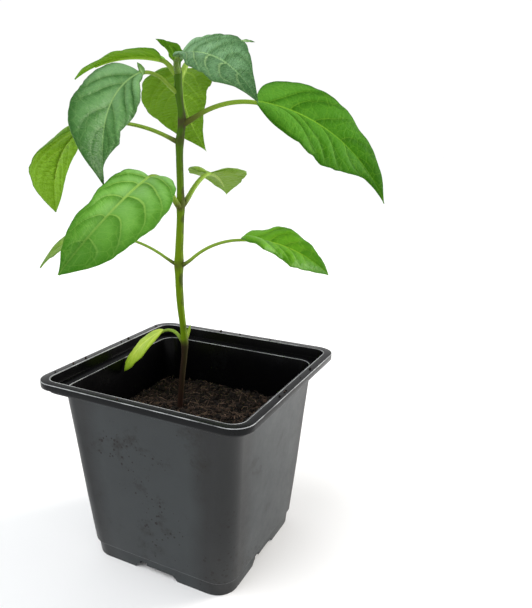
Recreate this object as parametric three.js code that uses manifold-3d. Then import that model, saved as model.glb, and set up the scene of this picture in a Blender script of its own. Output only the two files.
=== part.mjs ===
// A young chilli pepper plant in a square nursery pot.
// Millimetres, +Z up. The pot stands on Z = 0, and the whole plant is centred over the origin.
import * as THREE from 'three';
import { mergeVertices } from 'three/addons/utils/BufferGeometryUtils.js';
import Module from 'manifold-3d';

const wasm = await Module();
wasm.setup();

// Driving dimensions.
const gap = 0.3;                 // clearance between pieces that rest on each other
const pot = {
  height: 80,
  wall: 0.9,
  cornerSteps: 5,                // facets in each rounded corner
  foot: { half: 32.9, corner: 8.5, width: 3, height: 3, step: 6.5, setBack: 0.7 },
  body: { half: 38.1, corner: 7, top: 74.6 },
  collar: { half: 42.4, corner: 6.2, bottom: 75.4 },
  lip: { half: 45, corner: 8, bottom: 77.4, crest: 0.4, bevel: 0.7 },
  floor: { thickness: 1, rise: 1.5, inset: 6, corner: 3 },
  fillet: 0.3,
  cutterDepth: 6,
  notch: { bottom: 22, top: 16, height: 2.4 },
  slot: { width: 3.4, height: 1.8, offset: -6, z: 2.9, depth: 2.5 },
  drain: { radius: 3.2, spacing: 17, facets: 12 },
};
const soil = {
  level: 56.3,
  clearance: 0.5,                // between the soil and the pot's walls
  mound: 1.1,
  grain: 0.3,                    // height of the small humps on the surface
  rings: 9,
  ringSpread: 1.2,
  sideSteps: 5,
  holeRadius: 2.5,
  holeDepth: 27,
};
const stem = {
  sides: 10,
  steps: 34,
  lowRadius: 1.75,
  highRadius: 1.2,
  rootRadius: 0.8,
  top: 190.4,
  knuckle: 0.35,                 // extra radius where a leaf joins
  knuckleLength: 3,
  path: [
    [-10.4, 4.5, 32], [-10.4, 4.5, 46], [-10.4, 4.5, 57], [-9.6, 4.9, 70], [-8.6, 5.4, 85.5],
    [-9.2, 5.1, 104], [-9.7, 4.9, 119], [-8.6, 5.4, 142], [-8.8, 5.4, 163], [-7.6, 6, 173],
    [-8.5, 5.5, 183], [-8.5, 5.5, 194],
  ],
};
const leafShape = {
  thickness: 0.75,
  rows: 11,
  columns: 6,
  baseRound: 0.6,                // exponent of the blade's width at its base
  arch: 0.25,                    // how far each half bulges between midrib and margin
  wave: 0.6,
  waves: 2.6,
  bumps: 0.03,                   // unevenness of the margin, as a share of the width
  stalkSides: 6,
  stalkSteps: 6,
  stalkRadius: 1.05,
  stalkEndRadius: 0.85,
  ribEndRadius: 0.45,
  ribShare: 0.5,                 // how much of the blade the raised midrib runs along
};

// Leaves from the bottom up. node is the height on the stem. Headings are degrees anticlockwise
// from +X seen from above, and pitches are degrees above level. Along the blade the heading
// changes by sweep, the pitch falls by droop and the roll about the midrib changes by twist.
// half is half the blade's width, fold lifts both margins, lean shares the width between the
// halves, lobe sweeps the base back beside the stalk, and tip sharpens the point. left and right
// widen or narrow that half of the blade at each tenth of its length. slim thins the stalk, and
// start is its distance from the stem's axis where it isn't just clear of the stem.
const leaves = [
  {
    name: 'cotyledon_left', node: 86, stalk: { heading: 169, pitch: 83, length: 9.3 },
    blade: { heading: 191, pitch: -27, length: 26.8, half: 7, sweep: 22, droop: 40, roll: -11,
      twist: -16, fold: -4, tip: 0.9, lobe: 0.15, baseRound: 0.75, wave: 0.2,
      left: [1, 1.05, 1.1, 1.15, 1.15, 1.05, 1, 0.95, 1, 1, 1],
      right: [1, 0.93, 0.9, 0.89, 0.93, 0.9, 0.6, 0.65, 0.92, 1, 1] },
    colour: 0x9fae45, slim: 0.75,
  },
  {
    name: 'cotyledon_back', node: 86.5, stalk: { heading: 75, pitch: 76, length: 1.5 },
    blade: { heading: 75, pitch: 78, length: 5.5, half: 1.3, droop: 18, roll: 50, fold: 8,
      tip: 0.9, lobe: 0.1, baseRound: 0.75, wave: 0 },
    colour: 0xb3bf68, slim: 0.6, rows: 5, columns: 2,
  },
  {
    name: 'leaf_lower_left', node: 119.5, stalk: { heading: 189, pitch: 37, length: 20.5 },
    blade: { heading: 189, pitch: 12, length: 47, half: 12.5, sweep: 8, droop: 61, roll: -11,
      twist: -13, fold: 9, tip: 1.1, lobe: 0.15 },
    colour: 0x6f9a34, slim: 0.8,
  },
  {
    name: 'leaf_lower_right', node: 119, stalk: { heading: 15, pitch: 50, length: 25.5 },
    blade: { heading: 18, pitch: 2, length: 37, half: 11.5, droop: 45, roll: -1, twist: 46,
      fold: 12, tip: 1.1, lobe: 0.07, lean: -0.13,
      left: [1, 1.12, 0.92, 1.13, 1.05, 1, 0.94, 0.95, 0.78, 1, 1],
      right: [1, 1, 1, 1.3, 0.9, 0.93, 1.25, 1.18, 1, 1, 1] },
    colour: 0x6da02f, slim: 0.8,
  },
  {
    name: 'leaf_left', node: 142, stalk: { heading: 268, pitch: 69, length: 26.5 },
    blade: { heading: 284, pitch: -11, length: 58, half: 11.5, sweep: -20, droop: 27, roll: -17,
      twist: -29, fold: 19, tip: 0.75, lobe: 0.3, lean: 0.32,
      left: [1, 0.96, 0.98, 1, 1.02, 1, 1, 1, 1.05, 0.95, 0.7],
      right: [1, 0.9, 0.94, 0.99, 0.98, 0.93, 0.83, 1.02, 1.02, 1, 0.4] },
    colour: 0x5aa03c,
  },
  {
    name: 'leaf_small_right', node: 142.5, stalk: { heading: 81, pitch: 55, length: 26 },
    blade: { heading: 105, pitch: -5, length: 42, half: 13, sweep: 6, droop: 23, twist: 2,
      fold: 10, tip: 1.15, lobe: 0.15, arch: 0.1,
      left: [1, 0.8, 0.88, 0.95, 1, 1, 0.95, 0.74, 0.68, 0.52, 0.6],
      right: [1, 0.85, 0.88, 1, 0.97, 1, 0.89, 0.93, 1.05, 1, 1] },
    colour: 0x64842f,
  },
  {
    name: 'leaf_outer_left', node: 166, stalk: { heading: 193, pitch: 28, length: 27.5 },
    blade: { heading: 191, pitch: 0, length: 53, half: 18, sweep: -28, droop: 100, roll: -15,
      twist: -2, fold: 4, tip: 1, lobe: 0.08, lean: 0.13,
      left: [1, 1, 0.98, 0.74, 0.55, 0.7, 1.05, 1, 1, 1, 1] },
    colour: 0x5c8a28, slim: 0.8,
  },
  {
    name: 'leaf_right', node: 172.5, stalk: { heading: 33, pitch: 38, length: 27 },
    blade: { heading: 39, pitch: -7, length: 67.5, half: 19.5, sweep: -10, droop: 57, roll: 31,
      twist: 35, fold: 3, tip: 1.45, lobe: 0, lean: -0.07,
      left: [1.2, 1.07, 1.03, 1.01, 0.97, 1, 0.9, 0.98, 1.08, 1.5, 1.6],
      right: [1, 0.91, 0.89, 0.88, 0.86, 0.96, 0.98, 0.87, 0.5, 0.5, 0.7] },
    colour: 0x3c8230,
  },
  {
    name: 'leaf_upper_left', node: 183, stalk: { heading: 224, pitch: 66, length: 15 },
    blade: { heading: 258, pitch: -21.5, length: 50, half: 14, sweep: 55, droop: 54,
      roll: -36, twist: -6, fold: 8, tip: 1, lobe: 0.07, lean: -0.1,
      left: [0.5, 0.37, 0.57, 0.66, 0.68, 0.62, 0.48, 0.61, 0.34, 0.03, 0.2],
      right: [0.7, 0.71, 0.62, 0.65, 0.66, 0.79, 0.99, 1.12, 1.27, 1.45, 1.1] },
    colour: 0x4b8558, slim: 0.8,
  },
  {
    name: 'leaf_back', node: 188, stalk: { heading: 100, pitch: 46, length: 22.5 },
    blade: { heading: 134, pitch: -22, length: 58.5, half: 14.5, sweep: -51, droop: 22, roll: 2,
      twist: -38, fold: 4, tip: 1.3, lobe: 0.03, lean: 0.16,
      right: [1, 1, 1, 0.9, 0.87, 0.92, 0.78, 0.8, 0.78, 0.8, 1] },
    colour: 0x51841f,
  },
  {
    name: 'leaf_top_left', node: 189, stalk: { heading: 175, pitch: 83, length: 7.1 },
    blade: { heading: 194, pitch: 12, length: 37, half: 8, sweep: -5, droop: 43, roll: 9, twist: -17,
      fold: 10, tip: 1.1, lobe: 0.3, wave: 0.4,
      left: [1, 1.15, 1, 0.93, 0.68, 0.72, 0.65, 0.7, 0.8, 1, 1],
      right: [1, 1, 1, 1, 1, 0.9, 0.8, 0.7, 0.6, 0.6, 0.6] },
    colour: 0x559a2c,
  },
  {
    name: 'leaf_top_right', node: 190, stalk: { heading: -71, pitch: 54, length: 7.4 },
    blade: { heading: -19, pitch: 7, length: 41, half: 10.5, sweep: 9, droop: 63, roll: 27,
      twist: 22, fold: 20, tip: 1, lobe: 0.15, lean: -0.06,
      left: [1, 1.05, 0.8, 0.72, 0.77, 1, 1, 0.85, 0.68, 0.6, 0.6],
      right: [0.35, 0.4, 0.5, 0.73, 0.95, 1, 1.1, 1.25, 0.75, 0.7, 0.7] },
    colour: 0x4b8558,
  },
];
const shootTip = {
  colour: 0x5f9a3a,
  bud: { radius: 1.3, height: 3.4, z: 192.4 },
  leaves: [
    {
      node: 190.9, start: 0.4, slim: 0.6, rows: 7, columns: 4,
      stalk: { heading: 206, pitch: 75, length: 1.5 },
      blade: { heading: 208, pitch: 70, length: 10.5, half: 3.3, sweep: 10, droop: 45, roll: 9,
        twist: 17, fold: 12, tip: 1.1, lobe: 0.15, wave: 0.2 },
    },
    {
      node: 191, start: 0.5, slim: 0.6, rows: 6, columns: 4,
      stalk: { heading: 290, pitch: 78, length: 1.5 },
      blade: { heading: 250, pitch: 80, length: 7.5, half: 2.8, sweep: 8, droop: 55, roll: 4,
        twist: 8, fold: 12, tip: 1.1, lobe: 0.15, wave: 0.2 },
    },
  ],
};

const radians = THREE.MathUtils.degToRad;
const mix = THREE.MathUtils.lerp;

// A closed geometry from a list of vertices and a list of triangles.
function closedGeometry(vertices, triangles) {
  const geometry = new THREE.BufferGeometry();
  const positions = vertices.flatMap((v) => [v.x, v.y, v.z]);
  geometry.setAttribute('position', new THREE.Float32BufferAttribute(positions, 3));
  geometry.setIndex(triangles.flat());
  return geometry;
}

// Joins rings of equal length, anticlockwise about the way they run, and caps both ends.
function loft(rings) {
  const count = rings[0].length;
  const vertices = rings.flat();
  const triangles = [];
  for (let r = 0; r + 1 < rings.length; r += 1) {
    for (let i = 0; i < count; i += 1) {
      const a = r * count + i;
      const b = r * count + ((i + 1) % count);
      triangles.push([a, b, b + count], [a, b + count, a + count]);
    }
  }
  const middle = (ring) => ring.reduce((sum, v) => sum.add(v), new THREE.Vector3()).divideScalar(count);
  const first = vertices.push(middle(rings[0])) - 1;
  const last = vertices.push(middle(rings.at(-1))) - 1;
  const top = (rings.length - 1) * count;
  for (let i = 0; i < count; i += 1) {
    const next = (i + 1) % count;
    triangles.push([first, next, i], [last, top + i, top + next]);
  }
  return closedGeometry(vertices, triangles);
}

function toSolid(geometry) {
  const bare = geometry.clone();
  bare.deleteAttribute('normal');
  bare.deleteAttribute('uv');
  const merged = mergeVertices(bare);
  return new wasm.Manifold(new wasm.Mesh({
    numProp: 3,
    vertProperties: new Float32Array(merged.attributes.position.array),
    triVerts: new Uint32Array(merged.index.array),
  }));
}

function toGeometry(solid) {
  const mesh = solid.getMesh();
  const geometry = new THREE.BufferGeometry();
  geometry.setAttribute('position', new THREE.BufferAttribute(mesh.vertProperties, 3));
  geometry.setIndex(new THREE.BufferAttribute(mesh.triVerts, 1));
  return geometry;
}

// A square loop with rounded corners at height z, its straight sides cut into sideSteps.
function squareRing(half, corner, z, sideSteps = 1) {
  const ring = [];
  for (let quarter = 0; quarter < 4; quarter += 1) {
    const middle = (quarter + 0.5) * Math.PI / 2;
    const x = Math.sign(Math.cos(middle)) * (half - corner);
    const y = Math.sign(Math.sin(middle)) * (half - corner);
    for (let i = 0; i <= pot.cornerSteps; i += 1) {
      const angle = (quarter + i / pot.cornerSteps) * Math.PI / 2;
      ring.push(new THREE.Vector3(x + corner * Math.cos(angle), y + corner * Math.sin(angle), z));
    }
    const end = ring.at(-1);
    const along = direction((quarter + 2) * 90, 0);
    for (let i = 1; i < sideSteps; i += 1) {
      ring.push(end.clone().addScaledVector(along, 2 * (half - corner) * i / sideSteps));
    }
  }
  return ring;
}

// Half-width and corner radius of the pot's outer wall at height z.
function wallAt(z) {
  const t = z / pot.body.top;
  return {
    half: mix(pot.foot.half, pot.body.half, t),
    corner: mix(pot.foot.corner, pot.body.corner, t),
  };
}

function innerRing(z, clearance, sideSteps) {
  const { half, corner } = wallAt(z);
  const inset = pot.wall + clearance;
  return squareRing(half - inset, corner - inset, z, sideSteps);
}

function makePot() {
  const { foot, body, collar, lip, wall, floor, fillet, height } = pot;
  const floorTop = foot.height + floor.thickness;
  const floorHalf = foot.half - foot.width;
  const floorCorner = foot.corner - foot.width;
  const stepWall = wallAt(foot.step);
  const innerTop = body.top + wall;
  const shell = loft([
    squareRing(floorHalf - floor.inset, floor.corner, foot.height),
    squareRing(floorHalf, floorCorner, foot.height),
    squareRing(floorHalf, floorCorner, 0),
    squareRing(foot.half - foot.setBack, foot.corner, 0),
    squareRing(stepWall.half - foot.setBack, stepWall.corner, foot.step - fillet),
    squareRing(stepWall.half, stepWall.corner, foot.step),
    squareRing(body.half, body.corner, body.top),
    squareRing(collar.half, collar.corner, collar.bottom),
    squareRing(collar.half, collar.corner, height - wall),
    squareRing(lip.half - wall, lip.corner - wall, height - wall - fillet),
    squareRing(lip.half - wall, lip.corner - wall, lip.bottom),
    squareRing(lip.half, lip.corner, lip.bottom),
    squareRing(lip.half, lip.corner, height - lip.bevel),
    squareRing(lip.half - lip.crest, lip.corner - lip.crest, height),
    squareRing(collar.half - wall, collar.corner - wall, height),
    squareRing(collar.half - wall, collar.corner - wall, innerTop + fillet),
    squareRing(body.half - wall, body.corner - wall, innerTop),
    innerRing(floorTop + floor.rise, 0),
    squareRing(floorHalf, floorCorner, floorTop),
    squareRing(floorHalf - floor.inset, floor.corner, floorTop),
  ]);
  let solid = toSolid(shell);
  for (let side = 0; side < 4; side += 1) {
    const turn = new THREE.Matrix4().makeRotationZ(side * Math.PI / 2);
    solid = solid.subtract(toSolid(notchCutter().applyMatrix4(turn)));
    solid = solid.subtract(toSolid(slotCutter().applyMatrix4(turn)));
    solid = solid.subtract(toSolid(drainCutter(pot.drain.spacing).applyMatrix4(turn)));
  }
  return toGeometry(solid.subtract(toSolid(drainCutter(0))));
}

// The gap in the foot at the middle of one side, wider at the bottom.
function notchCutter() {
  const { bottom, top, height } = pot.notch;
  const depth = pot.cutterDepth;
  const outline = new THREE.Shape([
    new THREE.Vector2(-bottom / 2, -1),
    new THREE.Vector2(bottom / 2, -1),
    new THREE.Vector2(top / 2, height),
    new THREE.Vector2(-top / 2, height),
  ]);
  const cutter = new THREE.ExtrudeGeometry(outline, { depth, bevelEnabled: false });
  cutter.rotateX(Math.PI / 2);
  return cutter.translate(0, pot.foot.width + 1 - pot.foot.half, 0);
}

function slotCutter() {
  const { width, height, offset, z, depth } = pot.slot;
  const cutter = new THREE.BoxGeometry(width, 2 * depth, height);
  return cutter.translate(offset, -pot.foot.half, z);
}

function drainCutter(spacing) {
  const { radius, facets } = pot.drain;
  const cutter = new THREE.CylinderGeometry(radius, radius, pot.cutterDepth, facets);
  cutter.rotateX(Math.PI / 2);
  return cutter.translate(spacing, spacing, pot.foot.height);
}

const stemPoints = stem.path.map((point) => new THREE.Vector3(...point));
const stemPath = new THREE.CatmullRomCurve3(stemPoints, false, 'catmullrom', 0.5);
const nodeHeights = leaves.map((leaf) => leaf.node);

// The point on the stem's axis at height z, found by halving.
function stemAxis(z) {
  let low = 0;
  let high = 1;
  for (let i = 0; i < 30; i += 1) {
    const middle = (low + high) / 2;
    if (stemPath.getPoint(middle).z < z) low = middle;
    else high = middle;
  }
  return stemPath.getPoint(low);
}

function stemRadius(z) {
  if (z < soil.level) {
    const root = stem.path[0][2];
    return mix(stem.rootRadius, stem.lowRadius, (z - root) / (soil.level - root));
  }
  const plain = mix(stem.lowRadius, stem.highRadius, (z - soil.level) / (stem.top - soil.level));
  const nearest = Math.min(...nodeHeights.map((node) => Math.abs(z - node)));
  return plain + stem.knuckle * Math.exp(-((nearest / stem.knuckleLength) ** 2));
}

function makeStem() {
  const rings = [];
  for (let i = 0; i <= stem.steps; i += 1) {
    const z = mix(stem.path[0][2], stem.top, i / stem.steps);
    const centre = stemAxis(z);
    const ring = [];
    for (let k = 0; k < stem.sides; k += 1) {
      const spoke = direction(k / stem.sides * 360, 0);
      ring.push(centre.clone().addScaledVector(spoke, stemRadius(z)).setZ(z));
    }
    rings.push(ring);
  }
  return loft(rings);
}

function soilHeight(x, y) {
  const { half } = wallAt(soil.level);
  const reach = Math.hypot(x, y) / half;
  const grain = Math.sin(0.9 * x + 0.4 * y) + Math.sin(0.5 * x - 1.1 * y + 2) + Math.sin(1.7 * y + 0.3 * x);
  return soil.level + soil.mound * (1 - reach) + soil.grain * grain;
}

function makeSoil() {
  const [x, y] = stem.path[2];
  const edge = innerRing(soil.level, soil.clearance, soil.sideSteps);
  const hole = (z) => edge.map((corner) => {
    const spoke = new THREE.Vector3(corner.x - x, corner.y - y, 0).setLength(soil.holeRadius);
    return new THREE.Vector3(x, y, z).add(spoke);
  });
  const floorTop = pot.foot.height + pot.floor.thickness;
  const { half, corner, width } = pot.foot;
  const rings = [
    squareRing(half - width - 2 * gap, corner - width, floorTop + gap, soil.sideSteps),
    innerRing(floorTop + pot.floor.rise + 2 * gap, soil.clearance, soil.sideSteps),
  ];
  const rim = hole(0);
  for (let i = 0; i <= soil.rings; i += 1) {
    const t = (1 - i / soil.rings) ** soil.ringSpread;
    rings.push(rim.map((inner, k) => {
      const point = inner.clone().lerp(edge[k], t);
      return point.setZ(soilHeight(point.x, point.y));
    }));
  }
  rings.push(hole(soil.level - soil.holeDepth));
  return loft(rings);
}

function direction(heading, pitch) {
  const level = Math.cos(radians(pitch));
  return new THREE.Vector3(
    level * Math.cos(radians(heading)), level * Math.sin(radians(heading)), Math.sin(radians(pitch)),
  );
}

// The way along the leaf, towards its left side and out of its upper face.
function leafAxes(heading, pitch, roll) {
  const along = direction(heading, pitch);
  const level = new THREE.Vector3(-Math.sin(radians(heading)), Math.cos(radians(heading)), 0);
  const side = level.applyAxisAngle(along, radians(roll));
  return { along, side, face: along.clone().cross(side) };
}

// Stations along the stalk and then along the blade's midrib.
function leafStations(leaf) {
  const { stalk, blade } = leaf;
  const { sweep = 0, droop = 0, roll = 0, twist = 0 } = blade;
  const seat = stemRadius(leaf.node) + gap + leafShape.stalkRadius * Math.sin(radians(stalk.pitch));
  const start = leaf.start ?? seat;
  const point = stemAxis(leaf.node).addScaledVector(direction(stalk.heading, 0), start);
  const stalkAxes = (t) => leafAxes(
    mix(stalk.heading, blade.heading, t), mix(stalk.pitch, blade.pitch, t), roll * t,
  );
  const bladeAxes = (t) => leafAxes(blade.heading + sweep * t, blade.pitch - droop * t, roll + twist * t);
  const walk = (axesAt, length, steps) => {
    const stations = [{ t: 0, point: point.clone(), ...axesAt(0) }];
    for (let i = 1; i <= steps; i += 1) {
      point.addScaledVector(axesAt((i - 0.5) / steps).along, length / steps);
      stations.push({ t: i / steps, point: point.clone(), ...axesAt(i / steps) });
    }
    return stations;
  };
  return {
    stalk: walk(stalkAxes, stalk.length, leafShape.stalkSteps),
    blade: walk(bladeAxes, blade.length, leaf.rows ?? leafShape.rows),
  };
}

// The blade's width at t, from 0 at the base to 0 at the tip, with 1 at its widest.
function widthShare(t, baseRound, tip) {
  const widest = baseRound / (baseRound + tip);
  const inside = THREE.MathUtils.clamp(t, 0.012, 0.985);
  return (inside / widest) ** baseRound * ((1 - inside) / (1 - widest)) ** tip;
}

// How much one half of the blade is widened or narrowed at t.
function marginShare(steps, t) {
  if (!steps) return 1;
  const place = t * (steps.length - 1);
  const before = Math.min(Math.floor(place), steps.length - 2);
  return mix(steps[before], steps[before + 1], place - before);
}

// The offset from the midrib to the blade at u, from -1 at its right margin to 1 at its left.
function bladeOffset(station, blade, u, phase) {
  const { fold = 0, lobe = 0, lean = 0, tip, baseRound = leafShape.baseRound } = blade;
  const { wave = leafShape.wave, arch = leafShape.arch } = blade;
  const out = Math.abs(u);
  const way = Math.sign(u);
  const share = widthShare(station.t, baseRound, tip);
  const swing = 2 * Math.PI * leafShape.waves * station.t + phase + 2 * way;
  const bumps = 0.6 * Math.sin(0.83 * swing) + Math.abs(Math.sin(1.27 * swing + 1));
  const margin = marginShare(way > 0 ? blade.left : blade.right, station.t);
  const width = blade.half * share * (1 + lean * way) * margin;
  const across = width * (1 + leafShape.bumps * bumps) * out;
  const lift = across * (Math.sin(radians(fold)) + arch * (1 - out))
    + wave * share * out * out * Math.sin(swing);
  return station.side.clone().multiplyScalar(way * across * Math.cos(radians(fold)))
    .addScaledVector(station.face, lift)
    .addScaledVector(station.along, -lobe * blade.length / 2 * share * (1 - station.t) ** 2 * out);
}

// Both faces of a blade on one grid, split alike, with a flat edge all the way round.
function makeBlade(stations, blade, columns, phase) {
  const vertices = [];
  for (const level of [0.5, -0.5]) {
    for (const station of stations) {
      for (let j = 0; j <= columns; j += 1) {
        const offset = bladeOffset(station, blade, 2 * j / columns - 1, phase);
        offset.addScaledVector(station.face, level * leafShape.thickness);
        vertices.push(offset.add(station.point));
      }
    }
  }
  const rows = stations.length;
  const upper = (i, j) => i * (columns + 1) + j;
  const lower = (i, j) => rows * (columns + 1) + upper(i, j);
  const triangles = [];
  const edge = (i0, j0, i1, j1) => {
    triangles.push([upper(i0, j0), lower(i0, j0), lower(i1, j1)]);
    triangles.push([upper(i0, j0), lower(i1, j1), upper(i1, j1)]);
  };
  for (let i = 0; i + 1 < rows; i += 1) {
    for (let j = 0; j < columns; j += 1) {
      triangles.push([upper(i, j), upper(i + 1, j), upper(i + 1, j + 1)]);
      triangles.push([upper(i, j), upper(i + 1, j + 1), upper(i, j + 1)]);
      triangles.push([lower(i, j), lower(i + 1, j + 1), lower(i + 1, j)]);
      triangles.push([lower(i, j), lower(i, j + 1), lower(i + 1, j + 1)]);
    }
    edge(i, 0, i + 1, 0);
    edge(i + 1, columns, i, columns);
  }
  for (let j = 0; j < columns; j += 1) {
    edge(0, j + 1, 0, j);
    edge(rows - 1, j, rows - 1, j + 1);
  }
  return closedGeometry(vertices, triangles);
}

// The stalk, running on under the blade as its raised midrib.
function makeStalk(stations, slim) {
  const { stalkSides, stalkRadius, stalkEndRadius, ribEndRadius, ribShare, thickness } = leafShape;
  const rings = [];
  const addRing = (station, radius, drop) => {
    const ring = [];
    for (let k = 0; k < stalkSides; k += 1) {
      const angle = k / stalkSides * 2 * Math.PI;
      ring.push(station.point.clone()
        .addScaledVector(station.side, radius * Math.cos(angle))
        .addScaledVector(station.face, radius * Math.sin(angle) - drop));
    }
    rings.push(ring);
  };
  for (const station of stations.stalk.slice(0, -1)) {
    addRing(station, slim * mix(stalkRadius, stalkEndRadius, station.t), thickness / 2 * station.t);
  }
  for (const station of stations.blade.filter((each) => each.t <= ribShare)) {
    addRing(station, slim * mix(stalkEndRadius, ribEndRadius, station.t / ribShare), thickness / 2);
  }
  return loft(rings);
}

function leafSolid(leaf, index) {
  const stations = leafStations(leaf);
  const columns = leaf.columns ?? leafShape.columns;
  const blade = toSolid(makeBlade(stations.blade, leaf.blade, columns, 1.7 * index));
  return blade.add(toSolid(makeStalk(stations, leaf.slim ?? 1)));
}

function makeShootTip() {
  const { bud } = shootTip;
  const ball = new THREE.SphereGeometry(bud.radius, 8, 6);
  ball.scale(1, 1, bud.height / bud.radius / 2);
  const { x, y } = stemAxis(bud.z);
  let solid = toSolid(ball.translate(x, y, bud.z));
  shootTip.leaves.forEach((leaf, index) => {
    solid = solid.add(leafSolid(leaf, index));
  });
  return toGeometry(solid);
}

const group = new THREE.Group();
function addPiece(name, geometry, colour, roughness) {
  const material = new THREE.MeshStandardMaterial({ color: colour, roughness, metalness: 0 });
  const mesh = new THREE.Mesh(geometry, material);
  mesh.name = name;
  group.add(mesh);
}

addPiece('pot', makePot(), 0x3d4144, 0.45);
addPiece('soil', makeSoil(), 0x2a211b, 0.95);
addPiece('stem', makeStem(), 0x5f7424, 0.6);
leaves.forEach((leaf, index) => {
  addPiece(leaf.name, toGeometry(leafSolid(leaf, index)), leaf.colour, 0.5);
});
addPiece('shoot_tip', makeShootTip(), shootTip.colour, 0.5);

const box = new THREE.Box3().setFromObject(group);
group.position.set(-(box.min.x + box.max.x) / 2, -(box.min.y + box.max.y) / 2, 0);

export default group;
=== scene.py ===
import bpy
import bmesh
import math
import numpy as np
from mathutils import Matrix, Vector, noise


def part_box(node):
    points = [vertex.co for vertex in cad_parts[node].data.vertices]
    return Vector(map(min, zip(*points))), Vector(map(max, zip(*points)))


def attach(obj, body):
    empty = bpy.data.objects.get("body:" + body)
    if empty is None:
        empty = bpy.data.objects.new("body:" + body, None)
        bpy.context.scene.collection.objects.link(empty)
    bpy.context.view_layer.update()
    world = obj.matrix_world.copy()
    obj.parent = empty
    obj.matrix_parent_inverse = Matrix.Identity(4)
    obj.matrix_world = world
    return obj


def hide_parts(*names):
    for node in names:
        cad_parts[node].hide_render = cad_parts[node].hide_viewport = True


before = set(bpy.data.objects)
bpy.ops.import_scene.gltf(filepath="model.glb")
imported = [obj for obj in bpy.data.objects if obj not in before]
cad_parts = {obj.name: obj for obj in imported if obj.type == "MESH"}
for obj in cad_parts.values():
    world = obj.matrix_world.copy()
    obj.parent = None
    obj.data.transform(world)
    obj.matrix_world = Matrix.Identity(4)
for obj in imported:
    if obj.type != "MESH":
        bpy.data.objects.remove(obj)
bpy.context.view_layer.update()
mm = 0.001
potLow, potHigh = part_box("pot")
potX = (potLow[0] + potHigh[0]) / 2
potY = (potLow[1] + potHigh[1]) / 2
dice = np.random.default_rng(11)  # the one source of chance, so every run is the same
print("frame loaded, pot axis at", round(potX, 4), round(potY, 4))


camera = {
    "place": (119.22, -197.32, 166.74),  # from the pot's axis, in mm
    "azimuth": 28.12,
    "tilt": 18.85,
    "roll": 0.18,
    "lens": 35.89,
    "shiftX": 0.068,
    "shiftY": 0.0675,
}


def addCamera():
    lensData = bpy.data.cameras.new("viewCamera")
    lensData.lens = camera["lens"]
    lensData.shift_x = camera["shiftX"]
    lensData.shift_y = camera["shiftY"]
    lensData.clip_start = 0.01
    lensData.clip_end = 20
    view = bpy.data.objects.new("viewCamera", lensData)
    bpy.context.scene.collection.objects.link(view)
    x, y, z = camera["place"]
    view.location = (potX + x * mm, potY + y * mm, z * mm)
    view.rotation_euler = (math.radians(90 - camera["tilt"]), 0, math.radians(camera["azimuth"]))
    view.rotation_euler.rotate_axis("Z", math.radians(camera["roll"]))
    bpy.context.scene.camera = view


addCamera()
print("camera set")


def deselectAll():
    if bpy.context.mode != "OBJECT":
        bpy.ops.object.mode_set(mode="OBJECT")
    bpy.ops.object.select_all(action="DESELECT")


def makeActive(piece):
    deselectAll()
    piece.select_set(True)
    bpy.context.view_layer.objects.active = piece


def placeInMesh(piece):
    makeActive(piece)
    bpy.ops.object.transform_apply(location=True, rotation=True, scale=True)


def applyModifier(piece, kind, **settings):
    makeActive(piece)
    modifier = piece.modifiers.new(kind.lower(), kind)
    for key, value in settings.items():
        setattr(modifier, key, value)
    bpy.ops.object.modifier_apply(modifier=modifier.name)


def extrude(way):
    bpy.ops.mesh.extrude_region_move(TRANSFORM_OT_translate={"value": way})


def smoothByAngle(piece, angle):
    makeActive(piece)
    bpy.ops.object.shade_smooth_by_angle(angle=math.radians(angle))


def finishPiece(piece, material, slot, nodes=()):
    piece.data.materials.clear()
    piece.data.materials.append(material)
    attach(piece, "root")
    if nodes:
        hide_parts(*nodes)


def readAll(items, key):
    # three numbers for each vertex or face of a mesh
    values = np.empty(3 * len(items))
    items.foreach_get(key, values)
    return values.reshape(-1, 3)


def addMarks(mesh, marks, domain="POINT"):
    # named numbers on a mesh that its material reads
    for key, values in marks.items():
        layer = mesh.attributes.new(key, "FLOAT", domain)
        layer.data.foreach_set("value", np.asarray(values, dtype=np.float32))


def meshPiece(name, points, faces, marks, uv=None):
    # a new object from arrays of points (in mm from the pot's axis) and faces
    mesh = bpy.data.meshes.new(name)
    moved = np.asarray(points, dtype=float) * mm + (potX, potY, 0)
    mesh.from_pydata(moved.tolist(), [], faces)
    addMarks(mesh, marks)
    if uv is not None:
        corners = np.empty(len(mesh.loops), dtype=np.int32)
        mesh.loops.foreach_get("vertex_index", corners)
        flat = mesh.uv_layers.new(name="flat")
        flat.data.foreach_set("uv", uv[corners].astype(np.float32).ravel())
    mesh.shade_smooth()
    piece = bpy.data.objects.new(name, mesh)
    bpy.context.scene.collection.objects.link(piece)
    return piece


def tubeFaces(rings, sides, base=0):
    # the sides and both ends of a tube whose points are numbered ring by ring from base
    here = base + np.arange((rings - 1) * sides)
    beside = here + 1 - sides * ((here + 1 - base) % sides == 0)
    last = base + (rings - 1) * sides
    return [*np.stack([here, beside, beside + sides, here + sides], -1).tolist(),
            list(range(base, base + sides))[::-1], list(range(last, last + sides))]


def newMaterial(name):
    material = bpy.data.materials.new(name)
    material.use_nodes = True
    return material, material.node_tree, material.node_tree.nodes["Principled BSDF"]


def setInputs(tree, node, inputs):
    # inputs maps a socket's name or number to a value or to another node's output
    for key, value in inputs.items():
        if isinstance(value, bpy.types.NodeSocket):
            tree.links.new(value, node.inputs[key])
        else:
            node.inputs[key].default_value = value


def addNode(tree, kind, inputs=None, **settings):
    node = tree.nodes.new("ShaderNode" + kind)
    for key, value in settings.items():
        setattr(node, key, value)
    setInputs(tree, node, inputs or {})
    return node


def objectPlace(tree):
    return addNode(tree, "TexCoord").outputs["Object"]


def markOf(tree, key):
    return addNode(tree, "Attribute", attribute_name=key).outputs["Fac"]


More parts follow.
